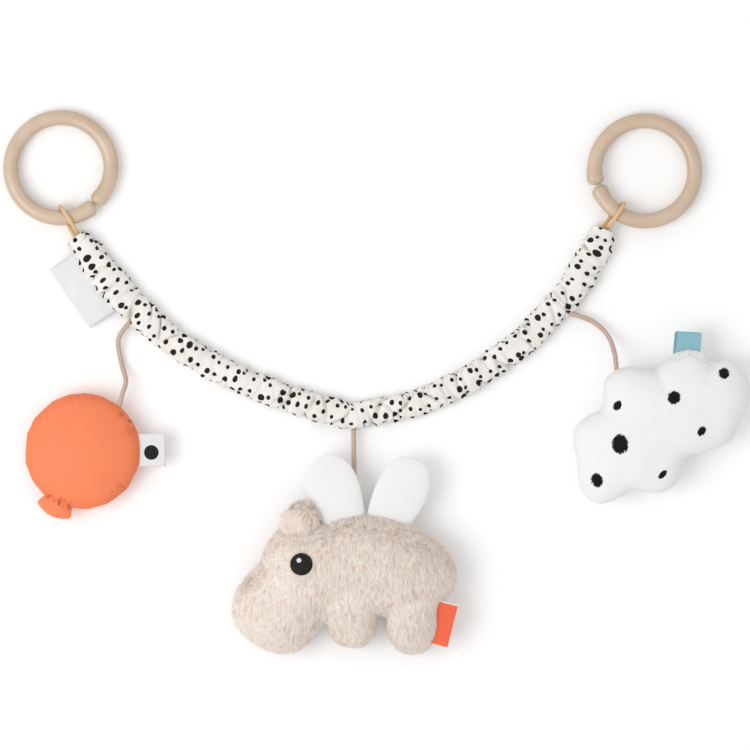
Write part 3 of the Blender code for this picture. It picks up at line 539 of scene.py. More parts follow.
def split_ring(name, centre, axis, split, offset):
    """A ring in its place; the value outward says how far out of the band's middle a point is."""
    ring = swollen_band(name, offset)
    for side in (1, -1):
        dome_end(ring, side, offset)
    bpy.ops.object.mode_set(mode="EDIT")
    bpy.ops.mesh.select_all(action="SELECT")
    bpy.ops.mesh.normals_make_consistent(inside=False)
    bpy.ops.object.mode_set(mode="OBJECT")
    carry(ring, "outward", [(hypot(vert.co.x, vert.co.y) - RING_RADIUS) / BAND_WIDE * 2
                            for vert in ring.data.vertices])
    tilt = Vector((0, 0, 1)).rotation_difference(Vector(axis)).to_matrix().to_4x4()
    ring.data.transform(Matrix.Translation(centre) @ tilt @ Matrix.Rotation(split, 4, "Z"))
    ring.data.shade_smooth()
    return ring


for name, centre, axis, split, offset in (
        ("left_ring", (-0.187915, 0.127585, 0.005551), (-0.00441, 0.04126, 0.99914), -47, 0.0008),
        ("right_ring", (0.162112, 0.12574, 0.005551), (0.02205, 0.03515, 0.99914), 197, 0.0006)):
    ring = split_ring(name + "_moulded", centre, axis, radians(split), offset)
    hand_over(ring, name + "_body", "ring_plastic", ring_plastic, name)

# %% [markdown]
# ## Elastic loops
#
# A loop of golden covered elastic comes out of the sleeve's mouth, goes over and under the ring's
# band and back. It is one round cord, so its route is worked out round the band's section. On its
# way it drifts sideways, so that its two strands lie side by side in the sleeve's mouth.

# %% Loops
loop_elastic = braid_finish("loop_elastic", (0.88, 0.62, 0.36), (0.60, 0.35, 0.15), 0.0013, 3,
                            0.00018, 0.55)
LOOP_RADIUS = 0.00115
LOOP_APART = 0.0013
LOOP_OPEN = radians(62)
LOOP_PLACES = 10


def elastic_loop(name, pivot, out, crossing, skew):
    """A cord out of the pivot, round the band at the crossing and back."""
    side = Vector((-out.y, out.x, 0))
    reach = hypot(crossing.x - pivot.x, crossing.y - pivot.y)
    near = BAND_WIDE / 2 / cos(skew) + 0.0006 + LOOP_RADIUS
    high = BAND_THICK / 2 + 0.0002 + LOOP_RADIUS
    route = [(0.0003, -LOOP_APART, pivot.z), (0.0017, -LOOP_APART, pivot.z)]
    for k in range(LOOP_PLACES + 1):
        angle = LOOP_OPEN + 2 * (pi - LOOP_OPEN) * k / LOOP_PLACES
        stretch = near if cos(angle) > 0 else near + 0.0010
        route.append((reach - stretch * cos(angle), LOOP_APART * (2 * k / LOOP_PLACES - 1),
                      crossing.z + high * sin(angle)))
    route += [(0.0017, LOOP_APART, pivot.z), (0.0003, LOOP_APART, pivot.z)]
    places = [(*(pivot + out * x + side * y).xy, z) for x, y, z in route]
    return cord_skin(name, smooth_route(places, 0.0006), LOOP_RADIUS)


for name, pivot, out, crossing, skew in (
        ("left_loop", (-0.17811, 0.086, 0.0049), (-0.49242, 0.87036, 0),
         (-0.1847, 0.09767, 0.0069), -23.4),
        ("right_loop", (0.13716, 0.09031, 0.0049), (0.61566, 0.78801, 0),
         (0.14532, 0.10076, 0.0069), 4.1)):
    loop = elastic_loop(name + "_cord", Vector(pivot), Vector(out), Vector(crossing),
                        radians(skew))
    hand_over(loop, name + "_body", "loop_elastic", loop_elastic, name)

# %% [markdown]
# ## Sleeve
#
# A cotton tube twice as long as its elastic gathers into puffs and short slanting creases. The
# print is plain: scattered black dots of a few sizes. The tube is a skin of rings whose radius is
# drawn in where a crease runs; the creases are scattered, each with its own slant, spread and
# depth. The dots lie in the cells of a random pattern on the sleeve's own map, so they follow it.

# %% Printed cotton
GIRTH = 0.042
THREAD = 0.00055
CELL = 0.0058
cotton = Finish("printed_cotton", 0.9, Specular_IOR_Level=0.1)
run, turn, _ = cotton.axes(cotton.along())
flat = cotton.node("CombineXYZ", None, {0: run, 1: turn * GIRTH, 2: 0.0})
wobble = cotton.node("TexNoise", None, {"Vector": flat, "Scale": 260.0, "Detail": 1.0}, output=1)
shifted = cotton.node("VectorMath", {"operation": "MULTIPLY_ADD"},
                      {0: wobble, 1: (0.0008, 0.0008, 0.0), 2: flat})
cells = {"Vector": shifted, "Scale": 1 / CELL, "Randomness": 0.62}
distance, tint = (cotton.node("TexVoronoi", {"voronoi_dimensions": "2D"}, cells, output=k)
                  for k in range(2))
radius = (cotton.axes(tint)[0] ** 2.4) * 0.165 + 0.185
dots = 1 - (distance - radius).between(-0.022, 0.022)
tone = cotton.noise(90.0, 3.0)
ground = cotton.mix(tone.between(0.35, 0.7), (0.83, 0.79, 0.74), (0.90, 0.875, 0.84))
# Painted shade: the cotton is painted a darker tan where the cloth is drawn into creases, and
# inside the sleeve's mouths.
folded = cotton.carried("drawn").between(0.30, 1.0)
ground = cotton.mix(folded * 0.55, ground, (0.56, 0.46, 0.36))
cotton.paint(cotton.mix(dots, ground, (0.022, 0.020, 0.018)))
weave = run.wave(THREAD) * turn.wave(THREAD / GIRTH)
fine = cotton.noise(500.0, 3.0)
cotton.bump(weave * 0.12 + fine * 0.35 + tone * 0.8, 0.0004)
print("Dots in cells of", CELL * 1000, "mm")

# %% Creases in the cotton
SLEEVE_PLACES = (
    (76.5, 236.0), (86, 249), (97, 264), (111, 282), (128, 301), (146, 319), (168, 338),
    (195, 356), (222, 371), (250, 384), (280, 396), (305, 404), (330, 411), (350, 416),
    (370, 413), (390, 409), (410, 405), (430, 398), (455, 387), (480, 372), (505, 355),
    (530, 335), (553, 310), (572, 290), (585, 268), (597, 246), (603.5, 229.0))
SLEEVE_WIDTHS = (
    (0.000, 0.80), (0.014, 0.92), (0.040, 1.10), (0.090, 1.20), (0.150, 1.12), (0.230, 1.00),
    (0.770, 1.00), (0.860, 1.08), (0.920, 1.18), (0.965, 1.14), (0.986, 0.96), (1.000, 0.84))
SLEEVE_LEVEL = 0.0049
SLEEVE_WIDE = 0.0164
SLEEVE_HIGH = 0.0112
SLEEVE_SIDES = 64
SLEEVE_BOXY = 0.86
# Creases are of unlike depth; the painted crease shade is full where the cloth is drawn in by
# DEEP_CREASE.
CREASE_DEPTHS = (0.0007, 0.0027)
DEEP_CREASE = 0.0023
# The mouths turn inwards: how deep, and the share of the size that is left.
MOUTH = ((0.0, 0.84), (0.0004, 0.66), (0.0012, 0.60), (0.0035, 0.56))


def eased(table, x):
    """The value at x in a table of places and values, with soft steps between them."""
    for (x0, y0), (x1, y1) in zip(table, table[1:]):
        if x <= x1:
            return y0 + (y1 - y0) * soft_step((x - x0) / (x1 - x0))
    return table[-1][1]


def scattered_creases(whole, seed=5):
    """Short creases along the tube: run, angle, slant, spread, depth and width of each."""
    rng = np.random.default_rng(seed)
    creases, run = [], 0.003
    while run < whole:
        for _ in range(3):
            creases.append((run + rng.normal(0, 0.0022), rng.uniform(0, 2 * pi),
                            rng.normal(0, 0.0042), rng.uniform(0.6, 1.7),
                            rng.uniform(*CREASE_DEPTHS), rng.uniform(0.0006, 0.0014)))
        run += rng.uniform(0.0050, 0.0105)
    return np.array(creases)


def fold_depth(creases, run, angle):
    """How far the cloth is drawn in here, in metres: creases, puffs and a ruffle at the edges."""
    middle, turn, slant, spread, deep, wide = creases.T
    away = (angle - turn + pi) % (2 * pi) - pi
    along = run - middle - slant * np.sin(away)
    drawn = deep * np.exp(-(along / wide) ** 2 - (away / spread) ** 2)
    place = Vector((run / 0.0085, cos(angle) * 1.1, sin(angle) * 1.1))
    puff = noise.noise(place) + 0.5 * noise.noise(place * 2.2)
    ruffle = abs(cos(angle)) ** 4 * noise.noise(Vector((run / 0.0023, angle, 3.0)))
    deepest = float(drawn.max())
    return deepest + 0.35 * (float(drawn.sum()) - deepest) + 0.0007 * puff + 0.0015 * ruffle


print("Crease depths in mm:", [depth * 1000 for depth in CREASE_DEPTHS])

# %% Sleeve shape
def boxed(part, power):
    """A sine or cosine drawn towards 1: a power under 1 makes a round section boxier."""
    return copysign(abs(part) ** power, part)


def ruched_sleeve():
    """Rings along the route, drawn in by the creases; the value drawn says how far."""
    route = smooth_route([on_plan(u, v, SLEEVE_LEVEL) for u, v in SLEEVE_PLACES], 0.0007)
    whole = length_of(route)
    creases = scattered_creases(whole)
    rings, runs, depths = [], [], []
    for k, centre in enumerate(route):
        share = k / (len(route) - 1)
        ahead = heading(route, k)
        left = Vector((-ahead.y, ahead.x, 0))
        width = eased(SLEEVE_WIDTHS, share)
        from_end = min(share, 1 - share) * whole
        ring = []
        for angle in turns(SLEEVE_SIDES):
            drawn = fold_depth(creases, share * whole, angle) * min(1.0, 0.3 + from_end / 0.006)
            wide = SLEEVE_WIDE / 2 * width - 1.15 * drawn
            high = SLEEVE_HIGH / 2 * min(1.0, width) - drawn
            spot = centre + left * wide * boxed(cos(angle), SLEEVE_BOXY)
            spot.z = max(0.00015 + 0.4 * max(0.0, drawn),
                         centre.z + high * boxed(sin(angle), SLEEVE_BOXY))
            ring.append(spot)
            depths.append(drawn / DEEP_CREASE)
        rings.append(ring)
        runs.append(share * whole)
    ends = [[[route[k] + (spot - route[k]) * size + heading(route, k) * inward * depth
              for spot in rings[k]] for depth, size in MOUTH]
            for k, inward in ((0, 1), (len(route) - 1, -1))]
    # The mouths carry a fixed drawn value, which paints shade inside them.
    mouth_shade = [0.6] * len(MOUTH) * SLEEVE_SIDES
    tube = skin_of_rings("sleeve_cotton", ends[0][::-1] + rings + ends[1],
                         [0.0] * len(MOUTH) + runs + [whole] * len(MOUTH))
    carry(tube, "drawn", mouth_shade + depths + mouth_shade)
    return tube


hand_over(ruched_sleeve(), "chain", "printed_cotton", cotton, "sleeve")

# %% [markdown]
# ## Elastic band inside
#
# The flat elastic only shows at the sleeve's mouths. The CAD node has the right shape, so it keeps
# its mesh and gets woven ribs.

# %% Band finish
BAND_RIB = 0.0009
band_weave = Finish("band_weave", 0.8)
x, y, _ = band_weave.axes()
band_weave.two_tone((x + y).ribs(BAND_RIB), (0.68, 0.66, 0.62), (0.84, 0.82, 0.78), 0.0002)
dress(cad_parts["elastic_band"], band_weave)
print("Band ribs every", BAND_RIB * 1000, "mm")

# %% [markdown]
# ## Folded tapes
#
# The sewn-in label, the balloon's tab, the cloud's ribbon loop and the hippo's tag are all the same
# thing: a short tape folded in two with both raw ends in a seam. A grid is bent round the fold,
# given a little life by noise, and thickened with Solidify.

# %% Tape shape
TAPE_THICK = 0.00045
TAPE_COLUMNS, TAPE_ROWS = 24, 56


def select(piece, *others):
    """Selects these alone; the first is the active one."""
    bpy.ops.object.select_all(action="DESELECT")
    for one in (piece, *others):
        one.select_set(True)
    bpy.context.view_layer.objects.active = piece


def apply_modifier(piece, kind, **settings):
    select(piece)
    modifier = piece.modifiers.new(kind.lower(), kind)
    for setting, value in settings.items():
        setattr(modifier, setting, value)
    bpy.ops.object.modifier_apply(modifier=modifier.name)


def folded_tape(name, width, reach, fold, base, out, droop=0.0, life=0.0003, seed=0.37,
                lean=0.0, slip=0.0):
    """Both ends at the base, the fold at its reach; the map runs over both leaves."""
    half = fold / 2 + TAPE_THICK / 2
    leaf = reach - half
    whole = 2 * leaf + pi * half
    runs = [whole * r / TAPE_ROWS for r in range(TAPE_ROWS + 1)]
    across = [width * c / TAPE_COLUMNS for c in range(TAPE_COLUMNS + 1)]
    grid = []
    for run in runs:
        if run < leaf:
            x, z = run, half
        elif run > whole - leaf:
            x, z = whole - run, -half
        else:
            angle = (run - leaf) / half
            x, z = leaf + half * sin(angle), half * cos(angle)
        pinch = min(1.0, 0.35 + 0.65 * x / (0.4 * reach))
        row = []
        for y in (place - width / 2 for place in across):
            lift = life * noise.noise(Vector((x / 0.009, y / 0.009, seed)))
            row.append((x, y + lean * x + slip * z, z * pinch + lift * x / reach))
        grid.append(row)
    bm, _, _ = cloth_of_rows(grid, runs, across)
    turn = Matrix.Rotation(radians(out), 4, "Z") @ Matrix.Rotation(droop, 4, "Y")
    bmesh.ops.transform(bm, matrix=Matrix.Translation(base) @ turn, verts=bm.verts)
    tape = new_piece(name, bm)
    apply_modifier(tape, "SOLIDIFY", thickness=TAPE_THICK, offset=0.0)
    return tape, whole


print("A tape is a grid bent round its fold")

# %% Tape finishes
def grey(level):
    return (level, level, level)


TAB_SPOT = (-0.13345, -0.04305)

satin = Finish("label_satin", 0.42, Sheen_Weight=0.3, Anisotropic=0.3)
run, across, _ = satin.axes(satin.along())
threads = across.ribs(0.0004)
cloudy = satin.noise(60.0)
satin.paint(satin.mix(threads * 0.4 + cloudy * 0.6, grey(0.70), (0.80, 0.80, 0.795)))
satin.roughen(cloudy * 0.12 + 0.38)
satin.bump(threads * 0.3 + cloudy * 0.7, 0.00015)

tab_tape = Finish("tab_tape", 0.75, Specular_IOR_Level=0.15)
run, across, _ = tab_tape.axes(tab_tape.along())
fray = tab_tape.noise(1500.0)
far = tab_tape.away_from(TAB_SPOT)[2] + fray * 0.0004
spot = 1 - far.between(0.00445, 0.00475)
tab_tape.paint(tab_tape.mix(spot, (0.86, 0.86, 0.855), (0.020, 0.020, 0.022)))
tab_tape.bump(run.wave(0.0005) * across.wave(0.0005) * 0.5 + fray * 0.5, 0.00015)

tag_satin = Finish("tag_satin", 0.5, Specular_IOR_Level=0.3)
run, across, _ = tag_satin.axes(tag_satin.along())
threads = run.ribs(0.0004)
edge = (across - 0.0131).math("ABSOLUTE").between(0.01255, 0.0127)
red = tag_satin.mix(threads, (0.99, 0.140, 0.060), (1.0, 0.18, 0.085))
tag_satin.paint(tag_satin.mix(edge, red, (0.88, 0.86, 0.84)))
tag_satin.bump(threads, 0.00012)

grosgrain = Finish("teal_grosgrain", 0.6, Specular_IOR_Level=0.3)
ribs = grosgrain.axes(grosgrain.along())[0].ribs(0.0011)
shade = grosgrain.noise(220.0, 3.0)
grosgrain.paint(grosgrain.mix(ribs * 0.6 + shade * 0.4, (0.21, 0.44, 0.51), (0.35, 0.62, 0.69)))
grosgrain.bump(ribs, 0.00025)
print("Satin, tape, tag and grosgrain")

# %% Four tapes
TAPES = (
    # The piece and its body, slot, finish, solid and the skin it rests on; its width, reach, fold,
    # base and heading in degrees; and what only some have.
    ("sleeve_label_satin", "chain", "white_satin", satin, "sleeve_label", "sleeve_cotton",
     (0.0425, 0.0198, 0.0006, (-0.1663, 0.0601, 0.0052), -145.5152),
     {"droop": radians(7), "life": 0.0006, "seed": 4.37}),
    ("balloon_tab_tape", "balloon", "white_tape", tab_tape, "balloon_tab", "balloon_satin_skin",
     (0.0195, 0.0160, 0.0016, (-0.1411, -0.0417, 0.0125), 1), {"seed": 1.37}),
    ("cloud_ribbon_loop", "cloud", "teal_ribbon", grosgrain, "cloud_ribbon", "cloud_plush_skin",
     (0.0146, 0.0135, 0.0042, (0.18652, 0.0155, 0.0165), 86.5), {"lean": -0.04, "slip": -0.3}),
    ("hippo_tag", "hippo", "orange_satin", tag_satin, "hippo_label", "hippo_plush_skin",
     (0.0270, 0.0122, 0.0008, (0.03480, -0.14370, 0.0215), -14), {}),
)
for name, body, slot, finish, node, skin, shape, more in TAPES:
    tape, cut_length = folded_tape(name, *shape, **more)
    hand_over(tape, body, slot, finish, node)

# %% [markdown]
# ## Puffed skins
#
# The balloon and the cloud are each two flat panels sewn round the rim and stuffed. Such a form
# rises steeply at the seam and levels off over the middle, also over every lobe of the cloud. The
# panel is filled with even triangles, and each inner place is then lifted a little over the mean
# of its neighbours, again and again, as filling presses on cloth that is held at its rim.

# %% Flat panel
def flat_panel(rim, step):
    """Even triangles inside an outline; the outline's own places come first."""
    outline = np.array([(p.x, p.y) for p in rim])
    low, high = outline.min(0), outline.max(0)
    rows = np.arange(low[1], high[1], step * 0.866)
    grid = np.array([(x + step / 2 * (k % 2), y) for k, y in enumerate(rows)
                     for x in np.arange(low[0], high[0], step)])
    after = np.roll(outline, -1, axis=0)
    inside = np.zeros(len(grid), bool)
    for (x0, y0), (x1, y1) in zip(outline, after):
        if y0 != y1:
            crosses = (y0 > grid[:, 1]) != (y1 > grid[:, 1])
            inside ^= crosses & (grid[:, 0] < x0 + (grid[:, 1] - y0) * (x1 - x0) / (y1 - y0))
    gap = np.min(np.hypot(*(grid[:, None] - outline[None]).transpose(2, 0, 1)), axis=1)
    grid = grid[inside & (gap > step * 0.6)]
    places = [Vector(p) for p in (*outline, *grid)]
    loop = list(range(len(outline)))
    return geometry.delaunay_2d_cdt(places, [], [loop], 1, 0.0000001)[0:3]


def neighbours_mean(edges, count):
    """A function that gives each point the mean of its neighbours' values."""
    ends = np.array(edges)
    here, there = np.r_[ends[:, 0], ends[:, 1]], np.r_[ends[:, 1], ends[:, 0]]
    many = np.bincount(here, minlength=count)
    return lambda values: np.bincount(here, weights=values[there], minlength=count) / many


DOME_ROUNDS = 1600


def dome(count, fixed, edges, settle):
    """Heights between 0 at the first, fixed places and 1 at the highest."""
    mean = neighbours_mean(edges, count)
    high = np.zeros(count)
    for _ in range(DOME_ROUNDS):
        high = (mean(high) + 1) / (1 + settle)
        high[:fixed] = 0
    return high / high.max()


def puffed_skin(name, rim, level, thick, step, even, fullness, crease):
    """even is the distance over which the dome levels off; crease lowers it at a place."""
    places, edges, faces = flat_panel(rim, step)
    high = dome(len(places), len(rim), edges, (step / even) ** 2 / 4) ** fullness
    bm = bmesh.new()
    top = []
    for side in (1, -1):
        verts = []
        for k, place in enumerate(places):
            if top and k < len(rim):
                verts.append(top[k])
                continue
            z = level + side * (thick / 2 * high[k] - crease(place, side) * min(1, 3 * high[k]))
            verts.append(bm.verts.new((place.x, place.y, max(0.00015, z))))
        for face in faces:
            bm.faces.new([verts[k] for k in face])
        top = verts
    return new_piece(name, bm)


print("Panels are lifted to domes")

# %% [markdown]
# ## Balloon
#
# Orange satin with a soft sheen. The seam draws the round panels into some seventeen straight runs
# of unlike length, so the rim is slightly faceted, and short creases start at its corners. The
# cloth is otherwise taut and smooth.

# %% Balloon satin
BALLOON_CENTRE = Vector((-0.1746, -0.0423, 0.0125))
BALLOON_RADIUS = 0.0346
BALLOON_THICK = 0.0260
# Where the rim is busy with puckers: the angle and half the stretch, in radians.
PUCKERED = ((0.55, 0.30), (-2.02, 0.34), (-0.85, 0.20))

balloon_satin = Finish("balloon_satin", 0.55, Specular_IOR_Level=0.3)
weave = balloon_satin.noise(1.0, place=balloon_satin.stretched(2600, 700, 1))
broad = balloon_satin.noise(38.0)
off_x, off_y, far = balloon_satin.away_from(BALLOON_CENTRE)
angle = off_y.math("ARCTAN2", off_x)
inward = far * -1 + BALLOON_RADIUS
level = balloon_satin.axes()[2]
round_rim = balloon_satin.node("CombineXYZ", None,
                               {0: angle * 5.2, 1: inward * 60.0, 2: level * 30.0})
pucker = balloon_satin.noise(2.2, 2.0, 0.55, round_rim).between(0.50, 0.72)
near_seam = (1 - inward.between(0.0005, 0.0065)) * inward.between(-0.0020, 0.0)
busy = 0.12
for turn, half in PUCKERED:
    busy = 1 - (angle - turn).math("ABSOLUTE").between(half * 0.5, half) + busy
drawn = pucker * near_seam * busy
orange = balloon_satin.mix(broad * 0.7 + weave * 0.3, (0.83, 0.200, 0.080), (0.93, 0.255, 0.110))
# Painted shade: the orange is painted darker in a band along the rim, and darker still in the
# puckers there.
balloon_satin.paint(balloon_satin.mix(near_seam * 0.28 + drawn * 0.34, orange,
                                      (0.70, 0.125, 0.045)))
balloon_satin.roughen(weave * 0.1 + 0.50)
balloon_satin.bump(weave * 0.06 + broad * 0.6 - drawn * 1.2, 0.0012)
print("Satin sheen with roughness from 0.5 to 0.6")

# %% Balloon shape
CORNERS = (13, 30, 50, 71, 87, 104, 121, 145, 162, 191, 210, 227, 257, 275, 296, 320, 346)
# Creases that run in from the rim: the angle, the length in millimetres and the depth.
BALLOON_CREASES = ((44, 6.0, 0.9), (22, 5.0, 1.0), (14, 4.0, 0.7), (-108, 4.0, 0.6),
                   (-124, 4.5, 0.6), (-98, 3.5, 0.4), (150, 7.0, 0.4), (-160, 8.0, 0.4),
                   (100, 7.0, 0.35), (-40, 8.0, 0.4), (-60, 6.0, 0.3), (75, 6.0, 0.3))
CREASE_WIDTH = 0.0011


def balloon_rim():
    """Nearly straight runs from corner to corner."""
    rim = []
    for low, high in zip(CORNERS, (*CORNERS[1:], CORNERS[0] + 360)):
        half, count = radians(high - low) / 2, round((high - low) * 0.55)
        for k in range(count):
            away = (2 * k / count - 1) * half
            reach = BALLOON_RADIUS * (0.265 + 0.75 * cos(half) / cos(away))
            angle = radians(low) + half + away
            rim.append(BALLOON_CENTRE + Vector((reach * cos(angle), reach * sin(angle), 0)))
    return rim


def balloon_crease(place, side):
    """Creases near the rim, and slow dents all over."""
    off_x, off_y = place.x - BALLOON_CENTRE.x, place.y - BALLOON_CENTRE.y
    angle, from_rim = atan2(off_y, off_x), BALLOON_RADIUS - hypot(off_x, off_y)
    drawn = 0.0
    for turn, length, depth in BALLOON_CREASES:
        away = (angle - radians(turn + 4 * (side < 0)) + pi) % (2 * pi) - pi
        across = away * BALLOON_RADIUS + 0.12 * from_rim * sin(turn)
        drawn += depth * exp(-(across / CREASE_WIDTH) ** 2 - (from_rim / (length / 1000)) ** 2)
    wave = noise.noise(Vector((place.x, place.y, side * 0.02)) / 0.016)
    return 0.0024 * drawn + 0.0004 * wave


balloon = puffed_skin("balloon_satin_skin", balloon_rim(), BALLOON_CENTRE.z, BALLOON_THICK,
                      0.0011, 0.030, 0.56, balloon_crease)
apply_modifier(balloon, "SUBSURF", levels=1, render_levels=1)
hand_over(balloon, "balloon", "balloon_satin", balloon_satin, "balloon_front", "balloon_back")

# %% [markdown]
# The knot is a gathered flap that leaves the rim at the lower left. It widens outwards, its end
# bows in, and pleats run from the seam and fade.

# %% Balloon neck
NECK_TURN = radians(-116)
NECK_ROOT = 0.0325
NECK_LENGTH = 0.0106
NECK_ROWS, NECK_SIDES = 24, 48


def balloon_neck():
    out = Vector((cos(NECK_TURN), sin(NECK_TURN), 0))
    side = Vector((-out.y, out.x, 0))
    base = BALLOON_CENTRE + out * NECK_ROOT
    rings, runs = [], []
    for k in range(NECK_ROWS + 1):
        share = k / NECK_ROWS
        wide = 0.0180 + 0.0036 * min(1.0, share / 0.7) ** 1.5
        thick = 0.0062 - 0.0032 * share
        if share > 0.94:
            thick *= 0.75
            wide -= 0.0004
        ring = []
        for angle in turns(NECK_SIDES):
            pleat = 0.0007 * (1 - abs(sin(3.5 * angle + 0.6))) ** 2 * (1 - 0.75 * share)
            bow = 0.0034 * cos(angle) ** 2 * share
            spot = base + out * (share * NECK_LENGTH - bow) + side * (wide / 2 * cos(angle))
            spot.z += (thick / 2 - pleat) * sin(angle)
            ring.append(spot)
        rings.append(ring)
        runs.append(share * NECK_LENGTH)
    return skin_of_rings("balloon_neck_satin", rings, runs)


neck = balloon_neck()
hand_over(neck, "balloon", "balloon_satin", balloon_satin, "balloon_neck")

# %% [markdown]
# ## Cloud
#
# White short plush on a lobed outline, with a few black spots. The spots' edges are ragged, because
# the pile leans over them. Soft valleys run in where two lobes meet. Only the tufts at the ribbon's
# foot are made as hairs, together with the hippo's coat.

# %% Cloud plush
CLOUD_CENTRE = Vector((0.1668, -0.0261, 0.0165))
CLOUD_THICK = 0.0330
# Spots in the photograph's pixels: the place, half the width, half the height, and the lean.
CLOUD_SPOTS = (
    (721.6, 373.3, 6.1, 6.3, 0), (671.6, 397.5, 7.0, 7.6, -25), (615.6, 405.4, 4.3, 6.0, -30),
    (618.0, 443.6, 9.2, 11.2, 5), (595.4, 479.6, 6.5, 8.1, 15), (699.2, 430.8, 4.2, 6.0, -35),
    (660.6, 474.0, 3.3, 6.1, -45))

cloud_plush = Finish("cloud_plush", 0.95, Specular_IOR_Level=0.1)
x, y, z = cloud_plush.axes()
nap = cloud_plush.noise(1100.0, 3.0, 0.6)
tuft = cloud_plush.noise(320.0)
ragged = cloud_plush.noise(900.0, 2.0, 0.6, cloud_plush.stretched(2.2, 0.7, 1.0)) * 1.3
ink = None
for u, v, half_u, half_v, lean in CLOUD_SPOTS:
    centre, turn = on_plan(u, v), radians(lean)
    off_x, off_y = x - centre.x, y - centre.y
    across = (off_x * cos(turn) + off_y * sin(turn)) / (half_u * PIXEL)
    up = (off_y * cos(turn) - off_x * sin(turn)) / (half_v * PIXEL)
    inside = 1 - (across * across + up * up + ragged).between(1.30, 1.55)
    ink = inside if ink is None else ink.math("MAXIMUM", inside)
white = cloud_plush.mix(nap * 0.6 + tuft * 0.4, grey(0.81), grey(0.89))
# Painted shade: the white is painted greyer near the seam's level, round the rim.
painted_rim_shade = 1 - (z - CLOUD_CENTRE.z).math("ABSOLUTE").between(0.002, 0.013)
white = cloud_plush.mix(painted_rim_shade * 0.18, white, grey(0.66))
black = cloud_plush.mix(nap, (0.004, 0.004, 0.005), (0.018, 0.018, 0.020))
cloud_plush.paint(cloud_plush.mix(ink, white, black))
cloud_plush.bump(nap * 0.5 + tuft * 0.5, 0.0007, 0.7)

# Painted light: the tufts glow faintly in their own white, which lifts the shade their hairs cast
# on one another.
glowing_tuft_white = Finish("cloud_tuft_plush", 0.95, Specular_IOR_Level=0.1, Emission_Strength=0.12)
glowing_tuft_white.two_tone(glowing_tuft_white.noise(900.0), grey(0.84), grey(0.96), 0.0003)
print(len(CLOUD_SPOTS), "spots")

# %% Cloud shape
CLOUD_OUTLINE = (
    (615.6, 370.0), (605.5, 379.0), (603.0, 393.0), (601.0, 409.0), (588.0, 416.0),
    (576.0, 426.0), (572.5, 441.0), (577.0, 461.0), (578.0, 480.0), (585.0, 495.0),
    (600.0, 502.7), (617.0, 497.0), (632.0, 488.0), (654.0, 492.0), (669.0, 487.0),
    (678.5, 474.0), (684.0, 457.0), (712.0, 448.5), (730.0, 438.0), (738.0, 419.0),
    (747.5, 397.0), (744.0, 374.0), (728.0, 359.5), (709.5, 365.0), (698.5, 354.0),
    (684.0, 352.0), (667.0, 360.0), (654.0, 370.5), (640.0, 369.0), (627.0, 367.0))
# Valleys between the lobes: both ends in the photograph's pixels, and the depth.
CLOUD_VALLEYS = (((655, 370), (665, 392), 0.0021), ((710, 364), (705, 381), 0.0014),
                 ((602, 411), (617, 419), 0.0008), ((684, 458), (672, 447), 0.0008),
                 ((640, 490), (641, 474), 0.0007))
VALLEY_WIDTH = 0.0032
cloud_rim = smooth_route([on_plan(u, v, CLOUD_CENTRE.z)
                          for u, v in (*CLOUD_OUTLINE, CLOUD_OUTLINE[0])], 0.0016)[:-1]


def remesh(piece, voxel):
    apply_modifier(piece, "REMESH", mode="VOXEL", voxel_size=voxel)


def cloud_crease(place, side):
    """Slow and small dents all over, and the valleys, which get shallower inwards."""
    spot = Vector((place.x, place.y, side * 0.05))
    drawn = 0.0012 * noise.noise(spot / 0.021) + 0.0005 * noise.noise(spot / 0.009)
    for start, end, depth in CLOUD_VALLEYS:
        start, end = on_plan(*start).xy, on_plan(*end).xy
        share = min(1.0, max(0.0, geometry.intersect_point_line(place, start, end)[1]))
        off = (place - start.lerp(end, share)).length
        drawn += depth * (1 - 0.7 * share) * exp(-(off / VALLEY_WIDTH) ** 2)
    return drawn


cloud = puffed_skin("cloud_plush_skin", cloud_rim, CLOUD_CENTRE.z, CLOUD_THICK, 0.0013, 0.016,
                    0.5, cloud_crease)
remesh(cloud, 0.0012)
apply_modifier(cloud, "SMOOTH", factor=0.5, iterations=6)
apply_modifier(cloud, "DISPLACE", strength=0.0007, mid_level=0.0)
for vert in cloud.data.vertices:
    vert.co.z = min(0.0328, max(0.0002, vert.co.z))
cloud.data.shade_smooth()
hand_over(cloud, "cloud", "cloud_plush", cloud_plush, "cloud_front", "cloud_back")

# %% [markdown]
# ## Filling
#
# The fibre filling sits inside the closed skins and never shows. It keeps its CAD mesh and gets a
# plain matted finish.

# %% Fibre
fibre = Finish("matted_fibre", 0.95)
fibre.two_tone(fibre.noise(700.0, 4.0), (0.78, 0.78, 0.75), (0.95, 0.95, 0.93), 0.0005)
for name in ("balloon_filling", "cloud_filling"):
    dress(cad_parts[name], fibre)
print("Two fillings")

# %% [markdown]
# ## Hippo
#
# The hippo is one stuffed skin: body, head, muzzle, two legs and two ears run into each other with
# soft creases where they are sewn. Each form starts as a sphere stretched to its CAD solid, the
# spheres are joined, and a voxel remesh melts them into one skin.

# %% Stuffed forms
HIPPO_LENGTH = 0.1344
HIPPO_CENTRE = Vector((0.0057, -0.1119, 0.0175))
FORMS = (
    # x, y, half length, half width, thickness, turn, taper, boxy, level
    (0.0, 0.004, 0.322, 0.202, 0.0360, -11, -0.14, 0.94, 0.0175),
    (-0.338, 0.008, 0.200, 0.184, 0.0330, 0, 0.0, 0.94, 0.0160),
    (-0.452, -0.158, 0.208, 0.190, 0.0320, -124, 0.12, 0.86, 0.0155),
    (-0.140, -0.200, 0.146, 0.103, 0.0310, -90, 0.05, 0.82, 0.0155),
    (0.126, -0.200, 0.174, 0.109, 0.0310, -90, 0.05, 0.82, 0.0155),
)
EARS = (
    (-0.368, 0.206, 0.074, 0.072, 0.0090, 0, 0.0, 1.0, 0.0227),
    (-0.378, 0.198, 0.072, 0.070, 0.0090, 0, 0.0, 1.0, 0.0123),
)


